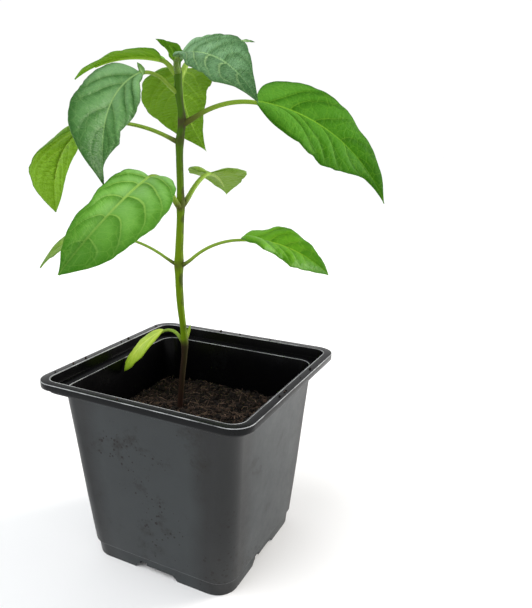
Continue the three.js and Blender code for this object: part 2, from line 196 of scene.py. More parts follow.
def mathOf(tree, operation, first, second=0.5):
    return addNode(tree, "Math", {0: first, 1: second}, operation=operation).outputs[0]


def noiseAt(tree, where, scale, detail=4, rough=0.6):
    inputs = {"Vector": where, "Scale": scale, "Detail": detail, "Roughness": rough}
    return addNode(tree, "TexNoise", inputs).outputs["Fac"]


def rangeOf(tree, value, low, high, toLow=0.0, toHigh=1.0):
    return addNode(tree, "MapRange", {
        "Value": value, "From Min": low, "From Max": high, "To Min": toLow, "To Max": toHigh,
    }).outputs["Result"]


def spreadOf(tree, value, low, high):
    # noise lies mostly between 0.3 and 0.7
    return rangeOf(tree, value, 0.3, 0.7, low, high)


def mixColour(tree, factor, first, second):
    return addNode(tree, "Mix", {0: factor, 6: first, 7: second}, data_type="RGBA").outputs[2]


def bumpOf(tree, height, strength, distance, before=None):
    inputs = {"Height": height, "Strength": strength, "Distance": distance}
    if before is not None:
        inputs["Normal"] = before
    return addNode(tree, "Bump", inputs).outputs["Normal"]


pot = {
    "cornerSteps": 8,
    "edgeRound": 0.3,
    # half width, corner radius and height of each ring, from the foot up outside and down inside
    "rings": [
        (32.2, 8.5, 0), (32.65, 8.4, 6.2), (33.35, 8.4, 6.5),
        (35.1, 7.9, 30), (36.6, 7.45, 53), (38.1, 7, 74.6), (42.4, 6.2, 75.4), (42.4, 6.2, 79.1),
        (44.1, 7.1, 78.8), (44.1, 7.1, 77.4), (45, 8, 77.4), (45, 8, 80), (41.95, 5.65, 80),
        (41.5, 5.3, 80), (41.5, 5.3, 75.8), (37.2, 6.1, 75.5), (35.7, 6.55, 53), (34.2, 7, 30),
        (32.4, 7.4, 5.5), (29.9, 5.5, 4),
    ],
    "footWidth": 2.3,
    "footHeight": 3,
    "notch": {"bottom": 22, "top": 16, "height": 2.4},
    "slot": {"width": 3.4, "low": 2, "high": 3.8, "offset": -6, "depth": 2.5},
    "drain": {"radius": 3.2, "spacing": 17},
    "lip": (45, 8),  # half width and corner radius of the lip's outer edge
    "bead": (41.95, 5.65),  # the thin rim along the lip's inner edge
    # heights that part the two finishes and bound the edges that get a painted highlight
    "innerFloor": 4.5,
    "ledge": (74.5, 75.6),
    "lipSide": (77, 79.5),
    "lipBand": 1.3,  # width of the glossy band round the lip's side
    "lipTop": 79.9,
    "footStep": (6.1, 6.65),
}
around = 4 * (pot["cornerSteps"] + 1)  # vertices in each ring


def addRing(half, corner, z):
    bpy.ops.mesh.select_all(action="DESELECT")
    bpy.ops.mesh.primitive_plane_add(size=2 * half * mm, location=(potX, potY, z * mm))
    bpy.ops.mesh.bevel(offset=corner * mm, segments=pot["cornerSteps"], affect="VERTICES")
    bpy.ops.mesh.delete(type="ONLY_FACE")


def selectVertices(piece, first, last):
    # in edit mode, selects the vertices numbered from first up to last and the edges between them
    bpy.ops.mesh.select_all(action="DESELECT")
    editMesh = bmesh.from_edit_mesh(piece.data)
    editMesh.verts.ensure_lookup_table()
    for vertex in editMesh.verts[first:last]:
        vertex.select = True
    editMesh.select_flush(True)
    bmesh.update_edit_mesh(piece.data)


def cutterBlock(low, high, taper=1.0):
    # a block between two corners in mm from the pot's axis, its top narrowed along x by taper
    deselectAll()
    middle = [(a + b) / 2 for a, b in zip(low, high)]
    bpy.ops.mesh.primitive_cube_add(size=1, location=[v * mm for v in middle])
    block = bpy.context.active_object
    block.scale = [(b - a) * mm for a, b in zip(low, high)]
    placeInMesh(block)
    for vertex in block.data.vertices:
        if vertex.co.z > middle[2] * mm:
            vertex.co.x = middle[0] * mm + (vertex.co.x - middle[0] * mm) * taper
    return block


def drainCutter(spacing):
    drain = pot["drain"]
    deselectAll()
    bpy.ops.mesh.primitive_cylinder_add(vertices=32, radius=drain["radius"] * mm, depth=6 * mm,
                                        location=(spacing * mm, spacing * mm, 3 * mm))
    cutter = bpy.context.active_object
    placeInMesh(cutter)
    return cutter


def cutFromPot(piece, cutter, turn):
    cutter.rotation_euler = (0, 0, math.radians(turn))
    cutter.location = (potX, potY, 0)
    applyModifier(piece, "BOOLEAN", operation="DIFFERENCE", object=cutter, solver="EXACT")


def loftRings(name, rings):
    # an open-ended skin through rounded squares, left in edit mode
    deselectAll()
    bpy.ops.mesh.primitive_plane_add(size=1)
    piece = bpy.context.active_object
    piece.name = name
    bpy.ops.object.mode_set(mode="EDIT")
    bpy.ops.mesh.delete(type="VERT")
    for half, corner, z in rings:
        addRing(half, corner, z)
    for i in range(len(rings) - 1):
        selectVertices(piece, i * around, (i + 2) * around)
        bpy.ops.mesh.bridge_edge_loops()
    return piece


def capRing(piece, i):
    selectVertices(piece, i * around, (i + 1) * around)
    bpy.ops.mesh.edge_face_add()


def pointOutwards():
    bpy.ops.mesh.select_all(action="SELECT")
    bpy.ops.mesh.normals_make_consistent(inside=False)
    bpy.ops.object.mode_set(mode="OBJECT")


def buildPot():
    piece = loftRings("nursery_pot", pot["rings"])
    capRing(piece, len(pot["rings"]) - 1)
    capRing(piece, 0)
    bpy.ops.mesh.inset(thickness=pot["footWidth"] * mm)
    extrude((0, 0, pot["footHeight"] * mm))
    pointOutwards()
    applyModifier(piece, "BEVEL", width=pot["edgeRound"] * mm, segments=2, limit_method="ANGLE",
                  angle_limit=math.radians(30), use_clamp_overlap=True)
    notch, slot = pot["notch"], pot["slot"]
    front = -pot["rings"][0][0]
    half, share = notch["bottom"] / 2, notch["top"] / notch["bottom"]
    left, right = slot["offset"] - slot["width"] / 2, slot["offset"] + slot["width"] / 2
    cutters = [
        cutterBlock((-half, front - 1, -1), (half, front + 4, notch["height"]), share),
        cutterBlock((left, front - 2, slot["low"]), (right, front + slot["depth"], slot["high"])),
        drainCutter(pot["drain"]["spacing"]),
        drainCutter(0),
    ]
    cutFromPot(piece, cutters[-1], 0)
    for turn in range(0, 360, 90):
        for cutter in cutters[:-1]:
            cutFromPot(piece, cutter, turn)
    for cutter in cutters:
        bpy.data.objects.remove(cutter)
    smoothByAngle(piece, 35)
    return piece


potFinish = {
    "clean": (0.007, 0.0075, 0.008, 1),
    # dust with a painted sheen, greyer than the clean plastic
    "dustAndSheen": (0.0255, 0.0305, 0.0325, 1),
    "dirt": (0.007, 0.006, 0.005, 1),
    "speck": (0.003, 0.002, 0.0015, 1),
    # painted shade: the inside is darker than the clean plastic
    "inside": (0.0015, 0.0015, 0.0018, 1),
    # a painted highlight along the thin edges of the lip, the ledge and, faintly, the foot's step
    "paintedHighlight": (0.45, 0.46, 0.47, 1),  # the thin edges of the lip and the ledge
    # the painted sheen fades with the dust
    "filmStart": 0.018,  # how far from the middle of a side its dust starts to fade, in metres
    "filmEnd": 0.026,
    "specks": ((480, 0.5, 0.24), (250, 0.48, 0.17)),  # scale, how little they gather, and size
    "shine": 0.3,
    "glossShine": 0.09,
    "gloss": 0.2,  # roughness inside and on the lip
}


def offSquare(points, half, corner):
    # how far points are outside a rounded square about the axis, negative within it
    beyond = np.abs(points) - (half - corner)
    return np.hypot(*np.maximum(beyond, 0).T) + np.minimum(beyond.max(axis=1), 0) - corner


def markPot(piece):
    # the inside and the lip get the glossy finish, and the thin edges, also the foot's step, are
    # marked for a painted highlight
    mesh = piece.data
    centres = (readAll(mesh.polygons, "center") - (potX, potY, 0)) / mm
    normals = readAll(mesh.polygons, "normal")
    height, up = centres[:, 2], normals[:, 2]
    outward = (centres[:, :2] * normals[:, :2]).sum(axis=1)
    beyondLip, beyondBead = [offSquare(centres[:, :2], *pot[key]) for key in ("lip", "bead")]
    ledge, lipSide, footStep = pot["ledge"], pot["lipSide"], pot["footStep"]
    inside = (outward < 0) & (height > pot["innerFloor"])
    onLip = (height > lipSide[1]) | ((height > lipSide[0]) & (beyondLip > -pot["lipBand"]))
    flat = up > 0.97
    # edge is where a painted highlight goes: the rounded edges of the ledge and the lip, the bead's
    # top, and faintly the foot's step
    rounded = (up > 0.25) & ~flat & (height > ledge[0])
    edge = np.where(rounded & ((height < ledge[1]) | (height > lipSide[0])), 1.0, 0.0)
    edge[(height > pot["lipTop"]) & flat & (beyondBead < 0)] = 1
    edge[(height > footStep[0]) & (height < footStep[1]) & (outward > 0)] = 0.2
    addMarks(mesh, {"inside": inside, "edge": edge}, "FACE")
    mesh.polygons.foreach_set("material_index", (inside | onLip).astype(np.int32))


def dustAndSheenFilm(tree, where):
    # dust with a painted sheen, thick in the middle of each side and thin towards the pot's
    # corners, which paints a darker band of reflection near each corner
    centred = addNode(tree, "VectorMath", {0: where, 1: (potX, potY, 0)}, operation="SUBTRACT")
    spread = addNode(tree, "VectorMath", {0: centred.outputs[0]}, operation="ABSOLUTE")
    spread = addNode(tree, "SeparateXYZ", {"Vector": spread.outputs[0]}).outputs
    alongFace = mathOf(tree, "MINIMUM", spread["X"], spread["Y"])
    swerve = spreadOf(tree, noiseAt(tree, where, 22, 2), -0.003, 0.003)
    alongFace = mathOf(tree, "ADD", alongFace, swerve)
    film = rangeOf(tree, alongFace, potFinish["filmStart"], potFinish["filmEnd"], 1, 0.15)
    thin = spreadOf(tree, noiseAt(tree, where, 28, 3), 0.75, 1)
    return mathOf(tree, "MULTIPLY", film, thin)


def potPlastic():
    # the outside, with a film of dust and painted sheen, smudges and specks of soil
    material, tree, shader = newMaterial("potPlastic")
    where = objectPlace(tree)
    grain = noiseAt(tree, where, 2600, 2, 0.5)
    smudge = noiseAt(tree, where, 70, 7, 0.75)
    colour = mixColour(tree, dustAndSheenFilm(tree, where), potFinish["clean"], potFinish["dustAndSheen"])
    colour = mixColour(tree, rangeOf(tree, smudge, 0.56, 0.7, 0, 0.85), colour, potFinish["dirt"])
    gather = noiseAt(tree, where, 36, 2)
    for scale, low, size in potFinish["specks"]:
        cells = addNode(tree, "TexVoronoi", {"Vector": where, "Scale": scale}).outputs["Distance"]
        speck = mathOf(tree, "LESS_THAN", cells, rangeOf(tree, gather, low, low + 0.18, 0, size))
        colour = mixColour(tree, speck, colour, potFinish["speck"])
    # the marked edges get a painted highlight
    setInputs(tree, shader, {
        "Base Color": mixColour(tree, markOf(tree, "edge"), colour, potFinish["paintedHighlight"]),
        "Roughness": rangeOf(tree, smudge, 0.3, 0.75, 0.38, 0.52),
        "Normal": bumpOf(tree, grain, 0.15, 0.0002),
        "Specular IOR Level": potFinish["shine"],
    })
    return material


def potGloss():
    # the inside and the lip, wiped clean, with painted shade inside
    material, tree, shader = newMaterial("potGloss")
    wiped = noiseAt(tree, objectPlace(tree), 90, 5, 0.7)
    # painted shade: the inside is darker than the clean plastic
    colour = mixColour(tree, markOf(tree, "inside"), potFinish["clean"], potFinish["inside"])
    colour = mixColour(tree, rangeOf(tree, wiped, 0.6, 0.75, 0, 0.12), colour, potFinish["dustAndSheen"])
    # a painted highlight along the thin edges, broken up by the wiped pattern
    highlightStrength = mathOf(tree, "MULTIPLY", markOf(tree, "edge"), rangeOf(tree, wiped, 0.35, 0.6, 0.25, 1))
    setInputs(tree, shader, {
        "Base Color": mixColour(tree, highlightStrength, colour, potFinish["paintedHighlight"]),
        "Roughness": spreadOf(tree, wiped, potFinish["gloss"], potFinish["gloss"] + 0.1),
        "Specular IOR Level": potFinish["glossShine"],
    })
    return material


potPiece = buildPot()
finishPiece(potPiece, potPlastic(), "pot_plastic", ["pot"])
potPiece.data.materials.append(potGloss())
markPot(potPiece)
print("pot", len(potPiece.data.vertices), "vertices")


soil = {
    "level": 56.3,
    "mound": 1.1,
    "lumps": 0.9,  # how far the surface rises and falls
    "swellSize": 11,
    "gritSize": 2.1,
    "grid": 230,
    "gridWidth": 78,
    "above": 70,  # a height that the whole surface is under
    "depth": 14,
    "rings": [(34.6, 7, 44), (35.9, 6.45, 62)],
    "crumbs": 2600,
    "crumbReach": 34.5,
    "crumbSize": (0.22, 1.15),  # the smallest, and how much larger the largest is
    "dark": (0.004, 0.003, 0.0025, 1),
    "light": (0.018, 0.012, 0.009, 1),
    "palestCrumb": (0.07, 0.042, 0.028, 1),
    "palestFibre": (0.2, 0.13, 0.09, 1),
    "onRim": 16,  # crumbs on the pot's lip, and below how far out, how high and how large
    "rimAt": 43.3,
    "rimCorner": 58,  # none lies further from the axis than this
    "rimHeight": 80.1,
    "rimSize": (0.2, 0.6),
    "rough": 0.92,
    "shine": 0.25,
}
fibre = {
    "count": 3200,
    "sides": 3,
    "steps": 4,
    "reach": 35,  # none lies further out than this
    "bend": (-1.3, 1.3),
    "length": (1.5, 6),
    "thick": (0.12, 0.32),
    "rise": (-0.1, 0.35),
}


def soilPeat(name, palest, scale):
    material, tree, shader = newMaterial(name)
    where = objectPlace(tree)
    blotch = noiseAt(tree, where, scale, 6, 0.7)
    fine = noiseAt(tree, where, scale * 6, 4, 0.7)
    colour = mixColour(tree, rangeOf(tree, blotch, 0.35, 0.68), soil["dark"], soil["light"])
    colour = mixColour(tree, rangeOf(tree, fine, 0.45, 0.75, 0, 0.6), colour, soil["dark"])
    setInputs(tree, shader, {
        "Base Color": mixColour(tree, markOf(tree, "shade"), colour, palest),
        "Roughness": soil["rough"],
        "Normal": bumpOf(tree, fine, 0.7, 0.0006),
        "Specular IOR Level": soil["shine"],
    })
    return material


def soilHeight(x, y):
    # mm from the pot's axis
    wide, fine = soil["swellSize"], soil["gritSize"]
    swell = noise.fractal((x / wide, y / wide, 0.3), 1.0, 2.0, 3)
    grit = noise.fractal((x / fine, y / fine, 4.0), 0.7, 2.1, 4)
    mound = soil["mound"] * (1 - math.hypot(x, y) / 36)
    return soil["level"] - 0.4 + mound + soil["lumps"] * (swell + grit)


def buildSoil():
    block = loftRings("soil_block", soil["rings"])
    capRing(block, 0)
    capRing(block, 1)
    pointOutwards()
    deselectAll()
    bpy.ops.mesh.primitive_grid_add(x_subdivisions=soil["grid"], y_subdivisions=soil["grid"],
                                    size=soil["gridWidth"] * mm, location=(potX, potY, 0))
    piece = bpy.context.active_object
    piece.name = "peat"
    placeInMesh(piece)
    for vertex in piece.data.vertices:
        vertex.co.z = soilHeight((vertex.co.x - potX) / mm, (vertex.co.y - potY) / mm) * mm
    bpy.ops.object.mode_set(mode="EDIT")
    bpy.ops.mesh.select_all(action="SELECT")
    extrude((0, 0, -soil["depth"] * mm))
    pointOutwards()
    applyModifier(piece, "BOOLEAN", operation="INTERSECT", object=block, solver="MANIFOLD")
    bpy.data.objects.remove(block)
    smoothByAngle(piece, 60)
    return piece


def turnsOf(count):
    # random rotations as count matrices of three by three
    spin = dice.normal(size=(count, 4))
    w, x, y, z = (spin / np.linalg.norm(spin, axis=1)[:, None]).T
    return np.stack([
        np.stack([1 - 2 * (y * y + z * z), 2 * (x * y - z * w), 2 * (x * z + y * w)], -1),
        np.stack([2 * (x * y + z * w), 1 - 2 * (x * x + z * z), 2 * (y * z - x * w)], -1),
        np.stack([2 * (x * z - y * w), 2 * (y * z + x * w), 1 - 2 * (x * x + y * y)], -1),
    ], 1)


def crumbShape():
    deselectAll()
    bpy.ops.mesh.primitive_ico_sphere_add(subdivisions=1, radius=1)
    ball = bpy.context.active_object
    points = np.array([vertex.co[:] for vertex in ball.data.vertices])
    faces = np.array([face.vertices[:] for face in ball.data.polygons])
    bpy.data.objects.remove(ball)
    return points, faces


def scatterCrumbs(name, places, sizes, material):
    # a lumpy little ball at each place, all in one piece
    points, faces = crumbShape()
    count = len(places)
    shape = points[None] * dice.uniform(0.6, 1.35, (count, 1, 3))
    shape = shape * dice.uniform(0.8, 1.2, (count, len(points), 1))
    shape = np.einsum("nij,nkj->nki", turnsOf(count), shape) * sizes[:, None, None]
    shape = shape + places[:, None, :]
    order = faces[None] + (np.arange(count) * len(points))[:, None, None]
    shade = np.repeat(dice.random(count) ** 4, len(points))
    piece = meshPiece(name, shape.reshape(-1, 3), order.reshape(-1, 3).tolist(), {"shade": shade})
    finishPiece(piece, material, "peat")


def dropOnto(piece, x, y):
    # the height in mm of the first surface under a point given in mm from the pot's axis
    start = Vector((potX + x * mm, potY + y * mm, soil["above"] * mm))
    hit, spot, _, _ = piece.ray_cast(start, Vector((0, 0, -1)))
    return spot.z / mm if hit else soil["level"]


def buildFibres(name, material):
    # short bent threads of peat lying about on the soil
    sides, steps, reach = fibre["sides"], fibre["steps"], fibre["reach"]
    points, faces, shade = [], [], []
    turns = np.arange(sides) / sides * 2 * math.pi
    for i in range(fibre["count"]):
        x, y = dice.uniform(1 - reach, reach - 1, 2)
        heading = dice.uniform(0, 2 * math.pi)
        bend, length, thick, rise = [
            dice.uniform(*fibre[key]) for key in ("bend", "length", "thick", "rise")
        ]
        shade += [dice.random() ** 2.2] * ((steps + 1) * sides)
        faces += tubeFaces(steps + 1, sides, len(points))
        for k in range(steps + 1):
            t = k / steps
            angle = heading + bend * t
            z = dropOnto(peatPiece, x, y) + 0.15 + rise * length * t * (1 - 0.4 * t)
            slim = thick * (1 - 0.7 * t)
            for turn in turns:
                across, up = slim * math.cos(turn), slim * math.sin(turn)
                points.append((x - math.sin(angle) * across, y + math.cos(angle) * across, z + up))
            x = min(max(x + math.cos(angle) * length / steps, -reach), reach)
            y = min(max(y + math.sin(angle) * length / steps, -reach), reach)
    piece = meshPiece(name, points, faces, {"shade": shade})
    finishPiece(piece, material, "peat")


def sowCrumbs(name, material):
    # crumbs all over the soil, and a few on the pot's lip but not at its round corners
    spots = dice.uniform(-soil["crumbReach"], soil["crumbReach"], (soil["crumbs"], 2))
    least, more = soil["crumbSize"]
    sizes = least + more * dice.random(soil["crumbs"]) ** 3
    heights = np.array([dropOnto(peatPiece, x, y) for x, y in spots])
    turns = dice.uniform(0, 2 * math.pi, soil["onRim"])
    way = np.column_stack([np.cos(turns), np.sin(turns)])
    onRim = way * (soil["rimAt"] / np.abs(way).max(axis=1))[:, None]
    onRim = onRim[np.hypot(*onRim.T) < soil["rimCorner"]]
    spots = np.vstack([spots, onRim])
    sizes = np.concatenate([sizes, dice.uniform(*soil["rimSize"], len(onRim))])
    heights = np.concatenate([heights, np.full(len(onRim), soil["rimHeight"])])
    scatterCrumbs(name, np.column_stack([spots, heights + 0.2 * sizes]), sizes, material)


peatPiece = buildSoil()
finishPiece(peatPiece, soilPeat("peat", soil["light"], 260), "peat", ["soil"])
sowCrumbs("peat_crumbs", soilPeat("crumbPeat", soil["palestCrumb"], 420))
buildFibres("peat_fibres", soilPeat("fibrePeat", soil["palestFibre"], 160))
print("soil", len(peatPiece.data.vertices), "vertices")


stem = {
    "sides": 24,
    "step": 1.1,
    "low": 50,
    "top": 190.4,
    "heights": (50, 74, 84, 96, 104, 122, 132, 140, 165, 194),
    "radii": (1.12, 1.18, 1.25, 1.38, 1.5, 1.66, 1.52, 1.38, 1.33, 1.1),  # at those heights
    "knuckle": 0.3,  # extra radius where a leaf joins
    "knuckleLength": 3,
    "ridges": 5,
    "ridgeHeight": 0.05,
    "path": [
        (-10.4, 4.5, 32), (-10.4, 4.5, 46), (-10.4, 4.5, 57), (-9.3, 5.1, 71), (-8.15, 5.65, 85.5),
        (-9.5, 4.95, 104), (-9.7, 4.9, 119), (-8.6, 5.4, 142), (-8.65, 5.5, 163), (-7.6, 6, 173),
        (-8.5, 5.5, 183), (-8.5, 5.5, 194),
    ],
    "nodes": [86, 86.5, 119.5, 119, 142, 142.5, 166, 172.5, 183, 188, 189, 190],
    "footFlare": 0.25,  # extra radius where it goes into the soil
    "footLength": 2.5,
    "stainedTo": 180,  # joints above this height aren't brown
    "stainUp": 2.2,  # how far the brown of a joint runs up and down
    "stainDown": 3.5,
    "stainRight": 4.5,  # how much further up it runs on the right side
    "rightWay": (0.94, 0.34),
    "green": ((0.085, 0.16, 0.0, 1), (0.14, 0.235, 0.0, 1)),
    "high": ((0.025, 0.07, 0.001, 1), (0.06, 0.14, 0.004, 1)),  # the green near the top
    "woody": ((0.012, 0.006, 0.004, 1), (0.036, 0.016, 0.01, 1)),
    "mossy": (0.03, 0.027, 0.008, 1),  # where the wood turns green
    "ragged": (0.024, 0.028, 0.006, 1),  # a dark streak down the right side
    "stain": (0.045, 0.022, 0.014, 1),  # where a leaf joins
}


def smoothPath(points, steps=24):
    # a curve through the points with even speed between them
    points = np.array(points, dtype=float)
    ends = np.vstack([2 * points[0] - points[1], points, 2 * points[-1] - points[-2]])
    t = np.arange(steps)[:, None] / steps
    spans = []
    for a, b, c, d in zip(ends, ends[1:], ends[2:], ends[3:]):
        go, arrive = (c - a) / 2, (d - b) / 2
        bow = 3 * (c - b) - 2 * go - arrive
        spans.append(b + go * t + bow * t ** 2 + (2 * (b - c) + go + arrive) * t ** 3)
    return np.vstack([*spans, points[-1:]])


stemLine = smoothPath(stem["path"])


def stemAxis(z):
    x, y = [np.interp(z, stemLine[:, 2], stemLine[:, i]) for i in (0, 1)]
    return np.array([x, y, z])


def stemRadius(z):
    nearest = min(abs(z - node) for node in stem["nodes"])
    plain = np.interp(z, stem["heights"], stem["radii"])
    foot = stem["footFlare"] * math.exp(-max(z - soil["level"], 0) / stem["footLength"])
    return plain + foot + stem["knuckle"] * math.exp(-(nearest / stem["knuckleLength"]) ** 2)


def buildStem():
    heights = np.arange(stem["low"], stem["top"], stem["step"])
    deselectAll()
    start = stemAxis(heights[0]) * mm + (potX, potY, 0)
    bpy.ops.mesh.primitive_circle_add(vertices=stem["sides"], radius=stemRadius(heights[0]) * mm,
                                      fill_type="NGON", location=start)
    piece = bpy.context.active_object
    piece.name = "chilli_stem"
    placeInMesh(piece)
    bpy.ops.object.mode_set(mode="EDIT")
    bpy.ops.mesh.select_all(action="SELECT")
    for low, high in zip(heights, heights[1:]):
        extrude((stemAxis(high) - stemAxis(low)) * mm)
        grow = stemRadius(high) / stemRadius(low)
        bpy.ops.transform.resize(value=(grow, grow, 1))
    pointOutwards()
    for vertex in piece.data.vertices:
        centre = Vector(stemAxis(vertex.co.z / mm) * mm + (potX, potY, 0))
        out = vertex.co - centre
        angle = math.atan2(out.y, out.x)
        z = vertex.co.z / mm
        rough = noise.noise((3 * math.cos(angle), 3 * math.sin(angle), z / 5))
        ridge = math.cos(stem["ridges"] * angle + 0.03 * z) + 0.6 * rough
        vertex.co = centre + out * (1 + stem["ridgeHeight"] * ridge)
    smoothByAngle(piece, 60)
    return piece


def markStem(piece):
    # how near each point is to where a leaf joins, and how far round to the right it faces
    co = readAll(piece.data.vertices, "co") / mm - (potX / mm, potY / mm, 0)
    centre = np.array([stemAxis(z) for z in co[:, 2]])
    out = (co - centre)[:, :2]
    out = out / np.linalg.norm(out, axis=1)[:, None]
    right = out @ np.array(stem["rightWay"])
    reach = stem["stainUp"] + stem["stainRight"] * np.maximum(right, 0)[:, None]
    nodes = np.array(stem["nodes"])
    above = co[:, 2][:, None] - nodes[nodes < stem["stainedTo"]]
    joint = np.exp(-(above / np.where(above > 0, reach, stem["stainDown"])) ** 2).max(axis=1)
    addMarks(piece.data, {"joint": joint, "right": right})


def stemSkin():
    material, tree, shader = newMaterial("stemSkin")
    where = objectPlace(tree)
    long = addNode(tree, "Mapping", {"Vector": where, "Scale": (1, 1, 0.09)}).outputs["Vector"]
    streak = noiseAt(tree, long, 900)
    patch = noiseAt(tree, where, 150)
    height = addNode(tree, "SeparateXYZ", {"Vector": where}).outputs["Z"]
    height = rangeOf(tree, height, 0.0, 0.2)
    right = markOf(tree, "right")
    green, high, woody = [mixColour(tree, streak, *stem[key]) for key in ("green", "high", "woody")]
    green = mixColour(tree, rangeOf(tree, height, 0.66, 0.84), green, high)
    ragged = mathOf(tree, "ADD", right, spreadOf(tree, patch, -0.9, 0.9))
    green = mixColour(tree, rangeOf(tree, ragged, 0.55, 1.3, 0, 0.75), green, stem["ragged"])
    stained = mathOf(tree, "ADD", markOf(tree, "joint"), spreadOf(tree, patch, -0.3, 0.3))
    green = mixColour(tree, rangeOf(tree, stained, 0.5, 1.1, 0, 0.8), green, stem["stain"])
    mossy = rangeOf(tree, height, 0.3, 0.42)
    mossy = mathOf(tree, "MULTIPLY", mossy, rangeOf(tree, right, -0.8, 0.6))
    woody = mixColour(tree, mossy, woody, stem["mossy"])
    setInputs(tree, shader, {
        "Base Color": mixColour(tree, rangeOf(tree, height, 0.424, 0.438), woody, green),
        "Roughness": 0.6,
        "Normal": bumpOf(tree, streak, 0.4, 0.0003),
        "Specular IOR Level": 0.12,
    })
    return material


stemPiece = buildStem()
markStem(stemPiece)
finishPiece(stemPiece, stemSkin(), "green_stem", ["stem"])
print("stem", len(stemPiece.data.vertices), "vertices")


leafShape = {
    "rows": 150,
    "columns": 64,
    "thickness": 0.55,
    "edge": 0.6,  # thickness at the margin, as a share
    "waves": 2.6,
    "phaseStep": 1.7,  # how much the waves of one leaf are shifted against the one before
    "bumps": 0.03,  # unevenness of the margin, as a share of the width
    "veinShift": -0.015,  # moves the veins of the left half along, and the right half's back
    "furrows": 14,
    "veinRidge": 0.22,
    "ribRidge": 0.45,
    "stalkSides": 14,
    "stalkRadii": (1.05, 0.85, 0.3),  # at the stem, at the blade and at the midrib's end
    "ribShare": 0.75,  # how far along the blade the stalk runs on as its midrib
    "stalkPale": (0.24, 0.38, 0.04, 1),
    "stalkDark": (0.035, 0.095, 0.002, 1),
    "cells": (2.6, 11),  # scales of the coarse and the fine net between the veins
}
# what a leaf has where its own row doesn't say otherwise
plainLeaf = {
    "sweep": 0,  # degrees that the heading turns from base to tip
    "roll": 0,
    "twist": 0,
    "fold": 0,
    "lean": 0,  # how much wider the left half is, as a share
    "lobe": 0,  # how far the base reaches back beside the stalk
    "slim": 1,  # thickness of the stalk, as a share
    "baseRound": 0.6,
    "arch": 0.25,
    "wave": 0.6,
    "left": (1,) * 11,
    "right": (1,) * 11,
    "veinRoots": (0.0, 0.13, 0.3, 0.48, 0.66),  # where side veins leave the midrib
    "veinRise": 0.46,  # how far along the blade each one runs on its way to the margin
    "veinBend": 1.25,  # how much it curves towards the tip
    "veinTone": (0.4, 0.4),  # how clear veins are on the left and on the right half
    "veinWidth": 0.25,  # half widths in mm
    "ribWidth": 0.5,
    "swell": (1.3, 1.3),  # how far each half swells between two veins
    "crimp": (0.1, 0.1),  # depth in mm of the fine furrows beside the side veins
    "stain": 0.8,  # how brown the stalk is where it joins the stem
    "stainLength": 2.5,
    "stalkTone": 0.88,  # the stalk's colour, from dark at 0 to pale at 1
    # curled points on the margin: place along it, side, heading, pitch, length and half width
    "flicks": (),
}

